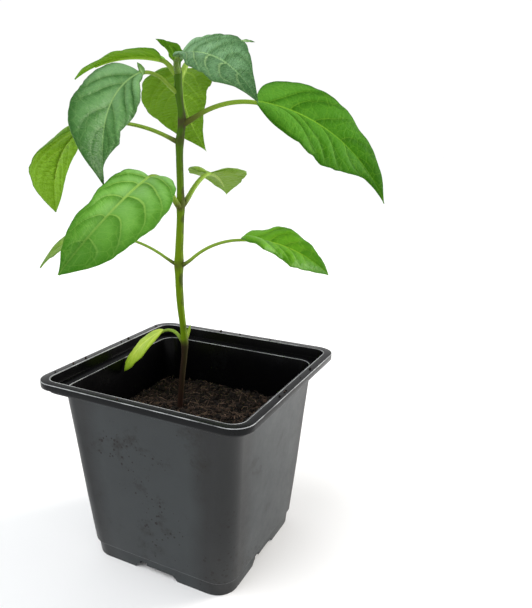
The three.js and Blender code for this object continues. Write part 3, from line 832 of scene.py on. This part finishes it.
# headings are degrees anticlockwise from +X seen from above, and pitches are degrees above level;
# left and right widen or narrow that half of the blade at each tenth of its length
leaves = [
    {"name": "cotyledon_left", "node": 86, "look": "seedLeaf", "stalk": (151.5, 67, 12.2),
     "heading": 191, "pitch": -27, "start": 1.2, "seatHeading": 240, "length": 26.8, "half": 7,
     "sweep": 22, "droop": 40, "roll": -11, "twist": -16, "fold": -4, "tip": 0.9, "lobe": 0.15,
     "baseRound": 0.75, "wave": 0.2, "slim": 0.75,
     "left": (1, 1.05, 1.1, 1.15, 1.15, 1.05, 1, 0.95, 1, 1, 1),
     "right": (1, 0.93, 0.9, 0.89, 0.93, 0.9, 0.6, 0.65, 0.92, 1, 1)},
    {"name": "cotyledon_back", "node": 86.5, "look": "seedLeaf", "stalk": (75, 76, 1.5),
     "heading": 75, "pitch": 78, "start": 1.5, "length": 5.9, "half": 0.75, "droop": 18, "roll": 50,
     "fold": 8, "tip": 0.9, "lobe": 0.1, "baseRound": 0.75, "wave": 0, "slim": 0.6},
    {"name": "leaf_lower_left", "node": 119.5, "look": "dull", "stalk": (189, 37, 20.5),
     "heading": 189, "pitch": 12, "length": 47, "half": 12.5, "sweep": 8, "droop": 61, "roll": -11,
     "twist": -13, "fold": 9, "tip": 1.1, "lobe": 0.15, "slim": 0.62},
    {"name": "leaf_lower_right", "node": 119, "look": "young", "stalk": (15, 50, 25.5),
     "heading": 18, "pitch": 2, "length": 37, "half": 11.5, "droop": 45, "roll": -1, "twist": 46,
     "fold": 12, "tip": 1.1, "lobe": 0.07, "lean": -0.13, "slim": 0.72,
     "veinRoots": (0.12, 0.3, 0.47, 0.62), "veinRise": 0.34, "veinTone": (0.2, 0.5),
     "swell": (0.6, 1.3), "left": (1, 1.12, 0.92, 1.13, 1.05, 1, 0.94, 0.95, 0.78, 1, 1),
     "right": (1, 1, 1, 1.3, 0.9, 0.93, 1.25, 1.18, 1, 1, 1)},
    {"name": "leaf_left", "node": 142, "look": "fresh", "stalk": (268, 69, 26.5), "heading": 284,
     "pitch": -11, "length": 58, "half": 11.5, "sweep": -20, "droop": 27, "roll": -17, "twist": -29,
     "fold": 19, "tip": 0.75, "lobe": 0.3, "lean": 0.32, "veinRoots": (0.0, 0.16, 0.34, 0.55, 0.75),
     "veinRise": 0.37, "veinBend": 1.7, "veinTone": (0.75, 0.5), "swell": (1, 1), "ribWidth": 0.65,
     "left": (1, 0.96, 0.98, 1, 1.02, 1, 1, 1, 1.05, 0.95, 0.7),
     "right": (1, 0.9, 0.94, 0.99, 0.98, 0.93, 0.83, 1.02, 1.02, 1, 0.4)},
    {"name": "leaf_small_right", "node": 142.5, "look": "dull", "stalk": (81, 55, 26),
     "heading": 105, "pitch": -5, "length": 42, "half": 13, "sweep": 6, "droop": 23, "twist": 2,
     "fold": 10, "tip": 1.15, "lobe": 0.15, "arch": 0.1,
     "left": (1, 0.8, 0.88, 0.95, 1, 1, 0.95, 0.74, 0.68, 0.52, 0.6),
     "right": (1, 0.85, 0.88, 1, 0.97, 1, 0.89, 0.93, 1.05, 1, 1)},
    {"name": "leaf_outer_left", "node": 166, "look": "olive", "stalk": (193, 28, 27.5),
     "heading": 191, "pitch": 0, "length": 53, "half": 18, "sweep": -28, "droop": 100, "roll": -15,
     "twist": -2, "fold": 4, "tip": 1, "lobe": 0.08, "lean": 0.13, "slim": 0.8,
     "veinTone": (0.7, 0.7), "swell": (1.6, 1.6), "crimp": (0.2, 0.2),
     "left": (1, 1, 0.98, 0.86, 0.76, 0.85, 1, 1, 1, 1, 1)},
    {"name": "leaf_right", "node": 172.5, "look": "mid", "stalk": (33, 38, 27), "heading": 39,
     "pitch": -7, "length": 67.5, "half": 19.5, "sweep": -10, "droop": 57, "roll": 31, "twist": 35,
     "fold": 3, "tip": 1.45, "lean": -0.07, "slim": 0.95, "veinRoots": (0.07, 0.2, 0.37, 0.54, 0.7),
     "veinRise": 0.32, "veinBend": 1.1, "veinTone": (0.3, 0.6), "swell": (0.5, 1.2),
     "stainLength": 8, "left": (1.2, 1.07, 1.03, 1.01, 0.97, 1, 0.9, 0.98, 1.08, 1.5, 1.6),
     "right": (1, 0.91, 0.89, 0.88, 0.86, 0.96, 0.98, 0.87, 0.5, 0.5, 0.7)},
    {"name": "leaf_upper_left", "node": 183, "look": "deep", "stalk": (224, 66, 15), "heading": 258,
     "pitch": -21.5, "length": 50, "half": 14, "sweep": 55, "droop": 54, "roll": -36, "twist": -6,
     "fold": 8, "tip": 1, "lobe": 0.07, "lean": -0.1, "slim": 0.75,
     "veinRoots": (0.0, 0.17, 0.39, 0.58, 0.74), "veinRise": 0.48, "veinBend": 1.05,
     "veinTone": (0.25, 0.2), "swell": (1.2, 1.1), "stain": 0.1, "stalkTone": 1,
     "flicks": [(0.0, 1, 195, 72, 4.8, 1.5)],
     "left": (0.5, 0.37, 0.57, 0.66, 0.68, 0.62, 0.48, 0.61, 0.34, 0.03, 0.2),
     "right": (0.7, 0.71, 0.62, 0.65, 0.66, 0.79, 0.99, 1.12, 1.27, 1.45, 1.1)},
    {"name": "leaf_back", "node": 188, "look": "olive", "stalk": (100, 46, 22.5), "heading": 134,
     "pitch": -22, "length": 58.5, "half": 14.5, "sweep": -51, "droop": 22, "roll": 2, "twist": -38,
     "fold": 4, "tip": 1.3, "lobe": 0.03, "lean": 0.16, "stain": 0.1, "veinTone": (0.7, 0.7),
     "swell": (1.6, 1.6), "crimp": (0.2, 0.2),
     "right": (2.4, 1.6, 1.1, 0.91, 0.87, 0.92, 0.78, 0.8, 0.78, 0.8, 1)},
    {"name": "leaf_top_left", "node": 189, "look": "young", "stalk": (175, 83, 7.1), "heading": 194,
     "pitch": 12, "length": 37, "half": 8, "sweep": -5, "droop": 43, "roll": 9, "twist": -17,
     "fold": 10, "tip": 1.1, "lobe": 0.3, "wave": 0.4, "stain": 0.1,
     "left": (1, 1.15, 1, 0.93, 0.68, 0.72, 0.65, 0.7, 0.8, 1, 1),
     "right": (1, 1, 1, 1, 1, 0.9, 0.8, 0.7, 0.6, 0.6, 0.6)},
    {"name": "leaf_top_right", "node": 190, "look": "silver", "stalk": (-71, 54, 7.4),
     "heading": -19, "pitch": 7, "length": 41, "half": 10.5, "sweep": 9, "droop": 63, "roll": 27,
     "twist": 22, "fold": 20, "tip": 1, "lobe": 0.15, "lean": -0.06,
     "veinRoots": (0.03, 0.18, 0.36, 0.54, 0.7), "veinRise": 0.38, "veinBend": 1.7,
     "veinTone": (0.15, 1.5), "swell": (1, 1.5), "veinWidth": 0.36, "stalkTone": 0.3, "stain": 0,
     "crimp": (0.45, 0.15), "flicks": [(0.55, 1, 26, 1, 4.8, 0.5)],
     "left": (1, 1.05, 0.8, 0.72, 0.77, 1, 1, 0.85, 0.68, 0.6, 0.6),
     "right": (0.3, 0.75, 0.62, 0.75, 0.95, 1, 1.1, 1.25, 0.75, 0.7, 0.7)},
]
shootLeaves = [
    {"node": 191.3, "start": 0.4, "slim": 0.6, "stalk": (206, 75, 1.5), "heading": 208, "pitch": 70,
     "length": 10.5, "half": 3.3, "sweep": 10, "droop": 45, "roll": 9, "twist": 17, "fold": 12,
     "tip": 1.1, "lobe": 0.15, "wave": 0.2},
    {"node": 191, "start": 0.5, "slim": 0.6, "stalk": (290, 78, 1.5), "heading": 250, "pitch": 80,
     "length": 9, "half": 3.6, "sweep": 8, "droop": 60, "roll": 4, "twist": 8, "fold": 12,
     "tip": 1.1, "lobe": 0.15, "wave": 0.4},
]


def direction(heading, pitch):
    heading, pitch = np.radians(heading), np.radians(pitch)
    level = np.cos(pitch)
    return np.stack([level * np.cos(heading), level * np.sin(heading), np.sin(pitch)], -1)


def leafAxes(heading, pitch, roll):
    # the way along the leaf, towards its left side and out of its upper face
    along = direction(heading, pitch)
    level = direction(heading + 90, 0 * heading)
    turn = np.radians(roll)[:, None]
    side = level * np.cos(turn) + np.cross(along, level) * np.sin(turn)
    return along, side, np.cross(along, side)


def walk(start, axesAt, length, t):
    # stations at each t, stepping along the midrib with the direction halfway between them
    middle = (t[1:] + t[:-1]) / 2
    steps = axesAt(middle)[0] * (np.diff(t) * length)[:, None]
    points = start + np.vstack([np.zeros(3), np.cumsum(steps, axis=0)])
    return {"t": t, "point": points, "axes": axesAt(t)}


def leafStations(leaf, rows):
    stalkHeading, stalkPitch, stalkLength = leaf["stalk"]
    seat = leafShape["stalkRadii"][0] * math.sin(math.radians(stalkPitch))
    seat = stemRadius(leaf["node"]) + 0.3 + seat
    inside = 0.35 * stemRadius(leaf["node"])  # the stalk starts inside the stem
    outward = direction(stalkHeading, 0)
    seatWay = direction(leaf.get("seatHeading", stalkHeading), 0)
    start = stemAxis(leaf["node"]) + seatWay * leaf.get("start", seat)

    def stalkAxes(t):
        return leafAxes(stalkHeading + (leaf["heading"] - stalkHeading) * t,
                        stalkPitch + (leaf["pitch"] - stalkPitch) * t, leaf["roll"] * t)

    def bladeAxes(t):
        return leafAxes(leaf["heading"] + leaf["sweep"] * t, leaf["pitch"] - leaf["droop"] * t,
                        leaf["roll"] + leaf["twist"] * t)

    stalk = walk(start, stalkAxes, stalkLength, np.linspace(0, 1, 25))
    root = stemAxis(leaf["node"]) + outward * inside - np.array([0, 0, 0.8])
    ease = (1 - np.minimum(stalk["t"] * stalkLength / 4, 1)) ** 2
    stalk["point"] = stalk["point"] + (root - start) * ease[:, None]
    even = np.linspace(0, 1, rows + 1)
    t = 0.6 * even + 0.4 * (0.5 - 0.5 * np.cos(math.pi * even))  # closer together at both ends
    return stalk, walk(stalk["point"][-1], bladeAxes, leaf["length"], t)


def widthShare(t, baseRound, tip):
    widest = baseRound / (baseRound + tip)
    inside = np.clip(t, 0.004, 0.994)
    return (inside / widest) ** baseRound * ((1 - inside) / (1 - widest)) ** tip


def perHalf(leaf, key, way):
    # a leaf's value for each half of the blade, left and right
    left, right = leaf[key]
    return np.where(way > 0, left, right)


def veinField(leaf, t, u, share, phase):
    # distances from the midrib and from the nearest side vein, negative on the one side of each and
    # counted in its half width, how clear that vein is, and how far the blade swells between veins
    out, way = np.abs(u), np.sign(u)
    across = leaf["half"] * share * out
    rise, bend = leaf["veinRise"], leaf["veinBend"]
    before, after = 6.0, 7.0  # where there is no vein on that side
    for i, root in enumerate(leaf["veinRoots"]):
        start = root + leafShape["veinShift"] * way
        reach = rise * (1 - 0.45 * root) * (1 + 0.1 * np.sin(5 * i + 2 * phase + 3 * way))
        lean = np.arctan2(leaf["half"] * np.maximum(share, 0.15),
                          reach * leaf["length"] * bend * (out + 0.02) ** (bend - 1))
        sway = 0.01 * np.sin(7 * out + 3 * i + phase)
        gap = (t - start - sway - reach * out ** bend) * leaf["length"] * np.sin(lean)
        before = np.where(gap >= 0, np.minimum(before, gap), before)
        after = np.where(gap < 0, np.minimum(after, -gap), after)
    near = np.minimum(before, after)
    rib = way * across / (leaf["ribWidth"] * (1 - 0.6 * t))
    vein = np.where(before < after, before, -after) / (leaf["veinWidth"] * (1 - 0.4 * out))
    fade = np.clip(1.05 - out, 0, 1) ** 0.8 * np.clip(1.5 - 1.5 * t, 0, 1)
    clear = perHalf(leaf, "veinTone", way) * fade * np.exp(-(near / 1.2) ** 2)
    spacing = before + after
    place = before / spacing  # each swelling rises slowly and falls steeply to the next vein
    swell = 3.5 * place ** 1.5 * (1 - place) ** 0.6 * np.minimum(1, spacing / 7)
    return rib, vein, clear, swell * (1 - out ** 7)


def marginShare(leaf, t, way):
    even = np.linspace(0, 1, 11)
    left, right = [np.interp(t, even, leaf[half]) for half in ("left", "right")]
    return np.where(way > 0, left, right)


def bladeFaces(rows, columns):
    # the upper face, the lower face with its points numbered after it, and the four thin edges
    wide = columns + 1
    count = (rows + 1) * wide
    a = (np.arange(rows)[:, None] * wide + np.arange(columns)[None, :]).ravel()
    top = np.stack([a, a + wide, a + wide + 1, a + 1], -1)
    left, base = np.arange(rows) * wide, np.arange(columns)
    right, tip = left + columns, rows * wide + base
    edges = ((left, left + wide), (right + wide, right), (base + 1, base), (tip, tip + 1))
    edges = [np.stack([a, a + count, b + count, b], -1) for a, b in edges]
    return np.vstack([top, top[:, ::-1] + count, *edges]).tolist()


def buildBlade(leaf, stations, rows, columns, phase):
    t = stations["t"][:, None]
    u = np.linspace(-1, 1, columns + 1)[None, :]
    out, way = np.abs(u), np.sign(u)
    along, side, face = [axis[:, None, :] for axis in stations["axes"]]
    share = widthShare(t, leaf["baseRound"], leaf["tip"])
    fold = math.radians(leaf["fold"])
    swing = 2 * math.pi * leafShape["waves"] * t + phase + 2 * way
    bumps = 0.6 * np.sin(0.83 * swing) + np.abs(np.sin(1.27 * swing + 1))
    bumps = bumps + 0.35 * np.abs(np.sin(3.1 * swing))
    width = leaf["half"] * share * (1 + leaf["lean"] * way) * marginShare(leaf, t, way)
    across = width * (1 + leafShape["bumps"] * bumps) * out
    wave = leaf["wave"] * share
    lift = across * (math.sin(fold) + leaf["arch"] * (1 - out)) + wave * out * out * np.sin(swing)
    lift = lift + 0.14 * wave * out ** 3 * np.sin(3.1 * swing + 1)
    rib, vein, clear, swell = veinField(leaf, t, u, share, phase)
    size = min(1, leaf["half"] / 10)
    puff = perHalf(leaf, "swell", way) * (0.85 + 0.3 * np.sin(11 * t + phase + 4 * way))
    puff = puff * (1 - 0.5 * t) * (1 - np.exp(-(across / 3.6) ** 1.5))  # flat beside the midrib
    lift = lift + puff * size * swell * np.minimum(1, 1.6 * share)
    furrow = math.pi * leafShape["furrows"] * (t - 0.35 * out ** 1.2) + np.sin(7 * out + phase)
    furrow = np.abs(np.sin(furrow + 2 * np.sin(5 * t + way)))
    crimp = perHalf(leaf, "crimp", way) * (0.3 + 0.7 * out) * (1 - out ** 6)
    lift = lift + crimp * furrow * share
    back = -leaf["lobe"] * leaf["length"] / 2 * share * (1 - t) ** 2 * out
    middle = stations["point"][:, None, :] + side * (way * across * math.cos(fold))[..., None] \
        + face * lift[..., None] + along * back[..., None]
    thick = leafShape["thickness"] * size * (1 - (1 - leafShape["edge"]) * out ** 2) / 2
    ridge = (leafShape["veinRidge"] * np.exp(-vein ** 2) * clear
             + leafShape["ribRidge"] * np.exp(-rib ** 2) * (1 - 0.7 * t)) * size
    upper = middle + face * (thick - 0.35 * ridge)[..., None]
    lower = middle - face * (thick + ridge)[..., None]
    points = np.vstack([upper.reshape(-1, 3), lower.reshape(-1, 3)])
    flat = np.broadcast_arrays(way * across / 10 + 0.5, t * leaf["length"] / 10)
    flat = np.stack(flat, -1).reshape(-1, 2)
    marks = {"rib": rib, "vein": vein, "clear": clear, "margin": out, "swell": swell, "along": t,
             "stain": 0}
    marks = {key: np.tile(np.broadcast_to(mark, rib.shape).ravel(), 2)
             for key, mark in marks.items()}
    return {"points": points, "faces": bladeFaces(rows, columns), "uv": np.vstack([flat, flat]),
            "under": np.repeat([0.0, 1.0], len(flat)), **marks}


def buildStalk(leaf, stalk, blade):
    # the stalk, running on under the blade as its raised midrib
    rows = np.flatnonzero(blade["t"] <= leafShape["ribShare"])[1::4]
    onStalk, onBlade = stalk["t"], blade["t"][rows]
    points = np.vstack([stalk["point"], blade["point"][rows]])[:, None, :]
    side, face = [np.vstack([stalk["axes"][i], blade["axes"][i][rows]])[:, None, :] for i in (1, 2)]
    length = leaf["stalk"][2]
    run = np.concatenate([onStalk * length, length + onBlade * leaf["length"]])
    atStem, atBlade, atEnd = leafShape["stalkRadii"]
    foot = 0.25 * np.exp(-(onStalk * length / 2.2) ** 2)  # thicker where it leaves the stem
    grown = atStem + (atBlade - atStem) * onStalk + foot
    slimmer = atBlade + (atEnd - atBlade) * onBlade / leafShape["ribShare"]
    radius = leaf["slim"] * np.concatenate([grown, slimmer])
    drop = leaf["slim"] * np.concatenate([0.3 * onStalk, 0.3 + 0.15 * onBlade])
    count = leafShape["stalkSides"]
    angle = np.arange(count) / count * 2 * math.pi
    groove = 1 - 0.16 * np.clip(np.sin(angle), 0, 1) ** 6  # along the upper side
    ring = radius[:, None] * groove
    rings = points + side * (ring * np.cos(angle))[..., None] \
        + face * (ring * np.sin(angle) - drop[:, None])[..., None]
    uv = np.stack(np.broadcast_arrays(angle / 6, run[:, None] / 10), -1).reshape(-1, 2)
    marks = {
        "rib": 1.3 * (1 - leaf["stalkTone"]), "vein": 9, "clear": 0, "margin": 0, "swell": 0.3,
        "along": np.where(run > length, 0.4, -1), "under": 0.35,
        "stain": leaf["stain"] * np.exp(-(run / leaf["stainLength"]) ** 2),
    }
    marks = {key: np.broadcast_to(np.asarray(mark, float)[..., None], ring.shape).ravel()
             for key, mark in marks.items()}
    return {"points": rings.reshape(-1, 3), "faces": tubeFaces(len(run), count), "uv": uv, **marks}


# what the leaf skin reads at each point
leafMarks = ("rib", "vein", "clear", "under", "margin", "swell", "along", "stain")


def joinParts(parts):
    joined = {"faces": []}
    offset = 0
    for part in parts:
        joined["faces"] += [[k + offset for k in face] for face in part["faces"]]
        offset += len(part["points"])
    for key in ("points", "uv", *leafMarks):
        joined[key] = np.concatenate([part[key] for part in parts])
    return joined


def flickPart(corner, heading, pitch, length, half):
    # a small curled point growing out of the margin
    def axesAt(t):
        return leafAxes(heading + 0 * t, pitch - 12 * t, 65 + 0 * t)

    start = corner - direction(heading, pitch) * 0.8
    stations = walk(start, axesAt, length, np.linspace(0, 1, 25))
    shape = {"length": length, "half": half, "tip": 1, "fold": 20, "wave": 0.1}
    return buildBlade({**plainLeaf, **shape}, stations, 24, 12, 0)


def leafParts(leaf, phase):
    leaf = {**plainLeaf, **leaf}
    rows = max(int(leafShape["rows"] * min(1, leaf["length"] / 45)), 30)
    columns = max(int(leafShape["columns"] * min(1, leaf["half"] / 11) / 2) * 2, 16)
    stalk, blade = leafStations(leaf, rows)
    parts = [buildBlade(leaf, blade, rows, columns, phase), buildStalk(leaf, stalk, blade)]
    for t, way, *grow in leaf["flicks"]:
        row = int(np.argmin(np.abs(blade["t"] - t)))
        corner = parts[0]["points"][row * (columns + 1) + (columns if way > 0 else 0)]
        parts.append(flickPart(corner, *grow))
    return parts


def leafPiece(name, parts, material, slot, node):
    whole = joinParts(parts)
    marks = {key: whole[key] for key in leafMarks}
    piece = meshPiece(name, whole["points"], whole["faces"], marks, whole["uv"])
    finishPiece(piece, material, slot, [node])
    return piece


leafLooks = {
    # colours of the painted sheen on the swellings near the stalk, the plain face, the painted
    # shade in its hollows which also darkens its tip, the veins and the underside
    # painted shade: the silver look's colours made darker for a leaf that catches more light
    "deep": {"paintedSheen": (0.17, 0.34, 0.135), "top": (0.07, 0.2, 0.045), "dark": (0.014, 0.08, 0.006),
             "vein": (0.34, 0.56, 0.19), "under": (0.12, 0.25, 0.04), "gloss": 0.45, "shine": 0.2,
             "sheenTo": 0.8, "net": 0.1, "wrinkle": 0.6, "edgeFrom": 0.82, "slot": "leaf_deep"},
    "silver": {"paintedSheen": (0.23, 0.43, 0.22), "top": (0.13, 0.3, 0.11), "dark": (0.018, 0.095, 0.014),
               "vein": (0.4, 0.64, 0.26), "under": (0.12, 0.25, 0.04), "gloss": 0.42, "shine": 0.25,
               "sheenTo": 1.2, "net": 0.12, "wrinkle": 1.8, "folds": 6.5, "slot": "leaf_deep"},
    "mid": {"paintedSheen": (0.08, 0.25, 0.02), "top": (0.04, 0.165, 0.004), "dark": (0.016, 0.085, 0.001),
            "vein": (0.2, 0.42, 0.03), "under": (0.12, 0.27, 0.015), "gloss": 0.65, "shine": 0.04,
            "sheenTo": 0.6, "net": 0.16, "wrinkle": 0.3, "slot": "leaf_deep"},
    "fresh": {"paintedSheen": (0.21, 0.43, 0.12), "top": (0.12, 0.32, 0.035), "dark": (0.025, 0.125, 0.002),
              "vein": (0.38, 0.62, 0.12), "under": (0.16, 0.33, 0.02), "gloss": 0.5, "shine": 0.08,
              "sheenTo": 0.75, "net": 0.08, "wrinkle": 0.25, "slot": "leaf_bright"},
    "young": {"paintedSheen": (0.13, 0.35, 0.02), "top": (0.085, 0.27, 0.001), "dark": (0.03, 0.14, 0.001),
              "vein": (0.36, 0.58, 0.05), "under": (0.18, 0.36, 0.01), "gloss": 0.5, "shine": 0.12,
              "sheenTo": 0.9, "net": 0.1, "wrinkle": 0.3, "slot": "leaf_bright"},
    "olive": {"paintedSheen": (0.15, 0.3, 0.008), "top": (0.1, 0.23, 0.002), "dark": (0.045, 0.14, 0.001),
              "vein": (0.24, 0.4, 0.03), "under": (0.14, 0.29, 0.008), "gloss": 0.55, "shine": 0.12,
              "sheenTo": 0.8, "net": 0.3, "wrinkle": 0.9, "edgeFrom": 0.58,
              "slot": "leaf_underside"},
    "dull": {"paintedSheen": (0.25, 0.4, 0.05), "top": (0.18, 0.31, 0.03), "dark": (0.06, 0.15, 0.004),
             "vein": (0.32, 0.46, 0.08), "under": (0.16, 0.3, 0.02), "gloss": 0.55, "shine": 0.12,
             "sheenTo": 1.2, "net": 0.3, "wrinkle": 0.7, "slot": "leaf_underside"},
    "seedLeaf": {"paintedSheen": (0.48, 0.62, 0.06), "top": (0.39, 0.52, 0.04), "dark": (0.22, 0.4, 0.012),
                 "vein": (0.66, 0.8, 0.14), "under": (0.5, 0.66, 0.05), "gloss": 0.5, "shine": 0.2,
                 "sheenTo": 1.2, "net": 0.1, "wrinkle": 0.3, "slot": "cotyledon"},
}


def lineOf(tree, gap, width, strength):
    # a soft line where a distance that changes sign is near nothing, as strong as a mark says
    line = rangeOf(tree, mathOf(tree, "ABSOLUTE", gap), 0.35, width, 1, 0)
    return mathOf(tree, "MULTIPLY", line, strength)


def leafColour(tree, look, marks, cells, small):
    tones = {key: (*value, 1) for key, value in look.items() if isinstance(value, tuple)}
    where = objectPlace(tree)
    patch = noiseAt(tree, where, 55)
    high = mathOf(tree, "ADD", marks["swell"], spreadOf(tree, patch, -0.25, 0.2))
    high = mathOf(tree, "ADD", high, spreadOf(tree, noiseAt(tree, where, 420, 3), -0.09, 0.09))
    # painted sheen: paler on the crests of the swellings near the stalk
    nearBase = rangeOf(tree, marks["along"], 0.1, look["sheenTo"], 1, 0)
    sheenOnCrests = mathOf(tree, "MULTIPLY", nearBase, rangeOf(tree, high, 0.1, 0.9))
    onStalk = rangeOf(tree, marks["along"], -0.3, -0.1, 1, 0)
    ribFade = rangeOf(tree, marks["along"], 0.3, 0.8, 0.85, 0.15)
    ribColour = mixColour(tree, onStalk, tones["vein"], leafShape["stalkPale"])
    below = mixColour(tree, spreadOf(tree, patch, 0, 0.6), tones["under"], tones["top"])
    layers = (
        (sheenOnCrests, tones["paintedSheen"]),
        (rangeOf(tree, marks["along"], 0.58, 0.95, 0, 0.85), tones["dark"]),
        (rangeOf(tree, cells, 0, 0.06, look["net"], 0), tones["vein"]),
        (rangeOf(tree, small, 0, 0.08, 0.6 * look["net"], 0), tones["vein"]),
        (rangeOf(tree, marks["margin"], look.get("edgeFrom", 0.93), 1.0, 0, 0.5), tones["dark"]),
        (marks["under"], below),
        (lineOf(tree, marks["vein"], 1.4, marks["clear"]), tones["vein"]),
        (onStalk, leafShape["stalkDark"]),
        (lineOf(tree, marks["rib"], 1.3, ribFade), ribColour),
        (marks["stain"], stem["stain"]),
    )
    # painted shade: the face is darker in the hollows between swellings and lighter on their crests
    colour = mixColour(tree, rangeOf(tree, high, -0.1, 0.6, 0.35, 1), tones["dark"], tones["top"])
    for factor, tone in layers:
        colour = mixColour(tree, factor, colour, tone)
    return colour


def leafSkin(name, look):
    material, tree, shader = newMaterial(name)
    flat = addNode(tree, "UVMap", uv_map="flat").outputs["UV"]
    marks = {key: markOf(tree, key) for key in leafMarks}
    cells, small = [
        addNode(tree, "TexVoronoi", {"Vector": flat, "Scale": scale},
                feature="DISTANCE_TO_EDGE").outputs[0] for scale in leafShape["cells"]
    ]
    fold = addNode(tree, "Mapping", {"Vector": flat, "Scale": (0.5, 1.3, 1)}).outputs["Vector"]
    crease = noiseAt(tree, fold, look.get("folds", 4.5), 3, 0.55)
    ground = bumpOf(tree, crease, 0.8, 0.0019 * look["wrinkle"])
    ground = bumpOf(tree, rangeOf(tree, small, 0, 0.3), 0.2, 0.0002, ground)
    setInputs(tree, shader, {
        "Base Color": leafColour(tree, look, marks, cells, small),
        "Roughness": rangeOf(tree, marks["under"], 0, 1, look["gloss"], 0.6),
        "Normal": bumpOf(tree, rangeOf(tree, cells, 0, 0.25), 0.15, 0.0004, ground),
        "Specular IOR Level": look["shine"],
    })
    return material, look["slot"]


skins = {key: leafSkin(key + "Leaf", look) for key, look in leafLooks.items()}
for index, leaf in enumerate(leaves):
    skin, slot = skins[leaf["look"]]
    parts = leafParts(leaf, leafShape["phaseStep"] * index)
    piece = leafPiece(leaf["name"] + "_blade", parts, skin, slot, leaf["name"])
    print(leaf["name"], len(piece.data.polygons), "faces")


bud = {
    "scales": ((20, 4.2), (140, 3.6), (255, 3.2)),  # heading and height of each
    "leaf": {"node": 190.6, "start": 0.05, "slim": 0.5, "pitch": 84, "half": 1.2, "droop": 6,
             "fold": 35, "tip": 0.9, "lobe": 0.1, "wave": 0.1},
}
tipParts = []
for index, leaf in enumerate(shootLeaves):
    tipParts += leafParts(leaf, leafShape["phaseStep"] * index)
for turn, height in bud["scales"]:
    scale = {**bud["leaf"], "stalk": (turn, 84, 0.8), "heading": turn, "length": height}
    tipParts += leafParts(scale, turn)
leafPiece("shoot_tip_leaves", tipParts, skins["mid"][0], "leaf_bright", "shoot_tip")
print("shoot tip done")


studio = {
    "floorRadius": 6,
    "floor": (0.94, 0.94, 0.94, 1),
    "wall": (1.0, 1.0, 1.0, 1),
    "ceiling": (0.5, 0.52, 0.55, 1),
    "worldStrength": 1.02,
    "sun": {"from": (-0.4, -0.5, 0.78), "strength": 1.9, "softness": 60},
    # place in metres from the pot's axis, width, watts and colour
    "side": {"place": (0.75, 0.75, 0.45), "width": 0.5, "power": 13, "tint": (1, 0.95, 0.88)},
}


def addFloor():
    deselectAll()
    bpy.ops.mesh.primitive_circle_add(vertices=96, radius=studio["floorRadius"], fill_type="NGON")
    floor = bpy.context.active_object
    floor.name = "studio_floor"
    placeInMesh(floor)
    material, tree, shader = newMaterial("floorPaint")
    setInputs(tree, shader, {"Base Color": studio["floor"], "Roughness": 0.9})
    floor.data.materials.append(material)


def addSky():
    # white at eye level and greyer overhead
    world = bpy.data.worlds.new("studioWorld")
    world.use_nodes = True
    tree = world.node_tree
    around = addNode(tree, "TexCoord").outputs["Generated"]
    height = addNode(tree, "SeparateXYZ", {"Vector": around}).outputs["Z"]
    shade = mixColour(tree, rangeOf(tree, height, 0.3, 0.75), studio["wall"], studio["ceiling"])
    setInputs(tree, tree.nodes["Background"], {"Color": shade, "Strength": studio["worldStrength"]})
    bpy.context.scene.world = world


def addLight(name, kind, energy, place, towards):
    data = bpy.data.lights.new(name, kind)
    data.energy = energy
    light = bpy.data.objects.new(name, data)
    bpy.context.scene.collection.objects.link(light)
    light.location = place
    light.rotation_euler = (Vector(towards) - light.location).to_track_quat("-Z", "Y").to_euler()
    return data


addFloor()
addSky()
side, sun = studio["side"], studio["sun"]
x, y, z = side["place"]
lamp = addLight("side", "AREA", side["power"], (potX + x, potY + y, z), (potX, potY, 0.1))
lamp.size = side["width"]
lamp.color = side["tint"]
sunLight = addLight("sun", "SUN", sun["strength"], sun["from"], (0, 0, 0))
sunLight.angle = math.radians(sun["softness"])
bpy.context.scene.view_settings.view_transform = "Standard"
print("studio set")
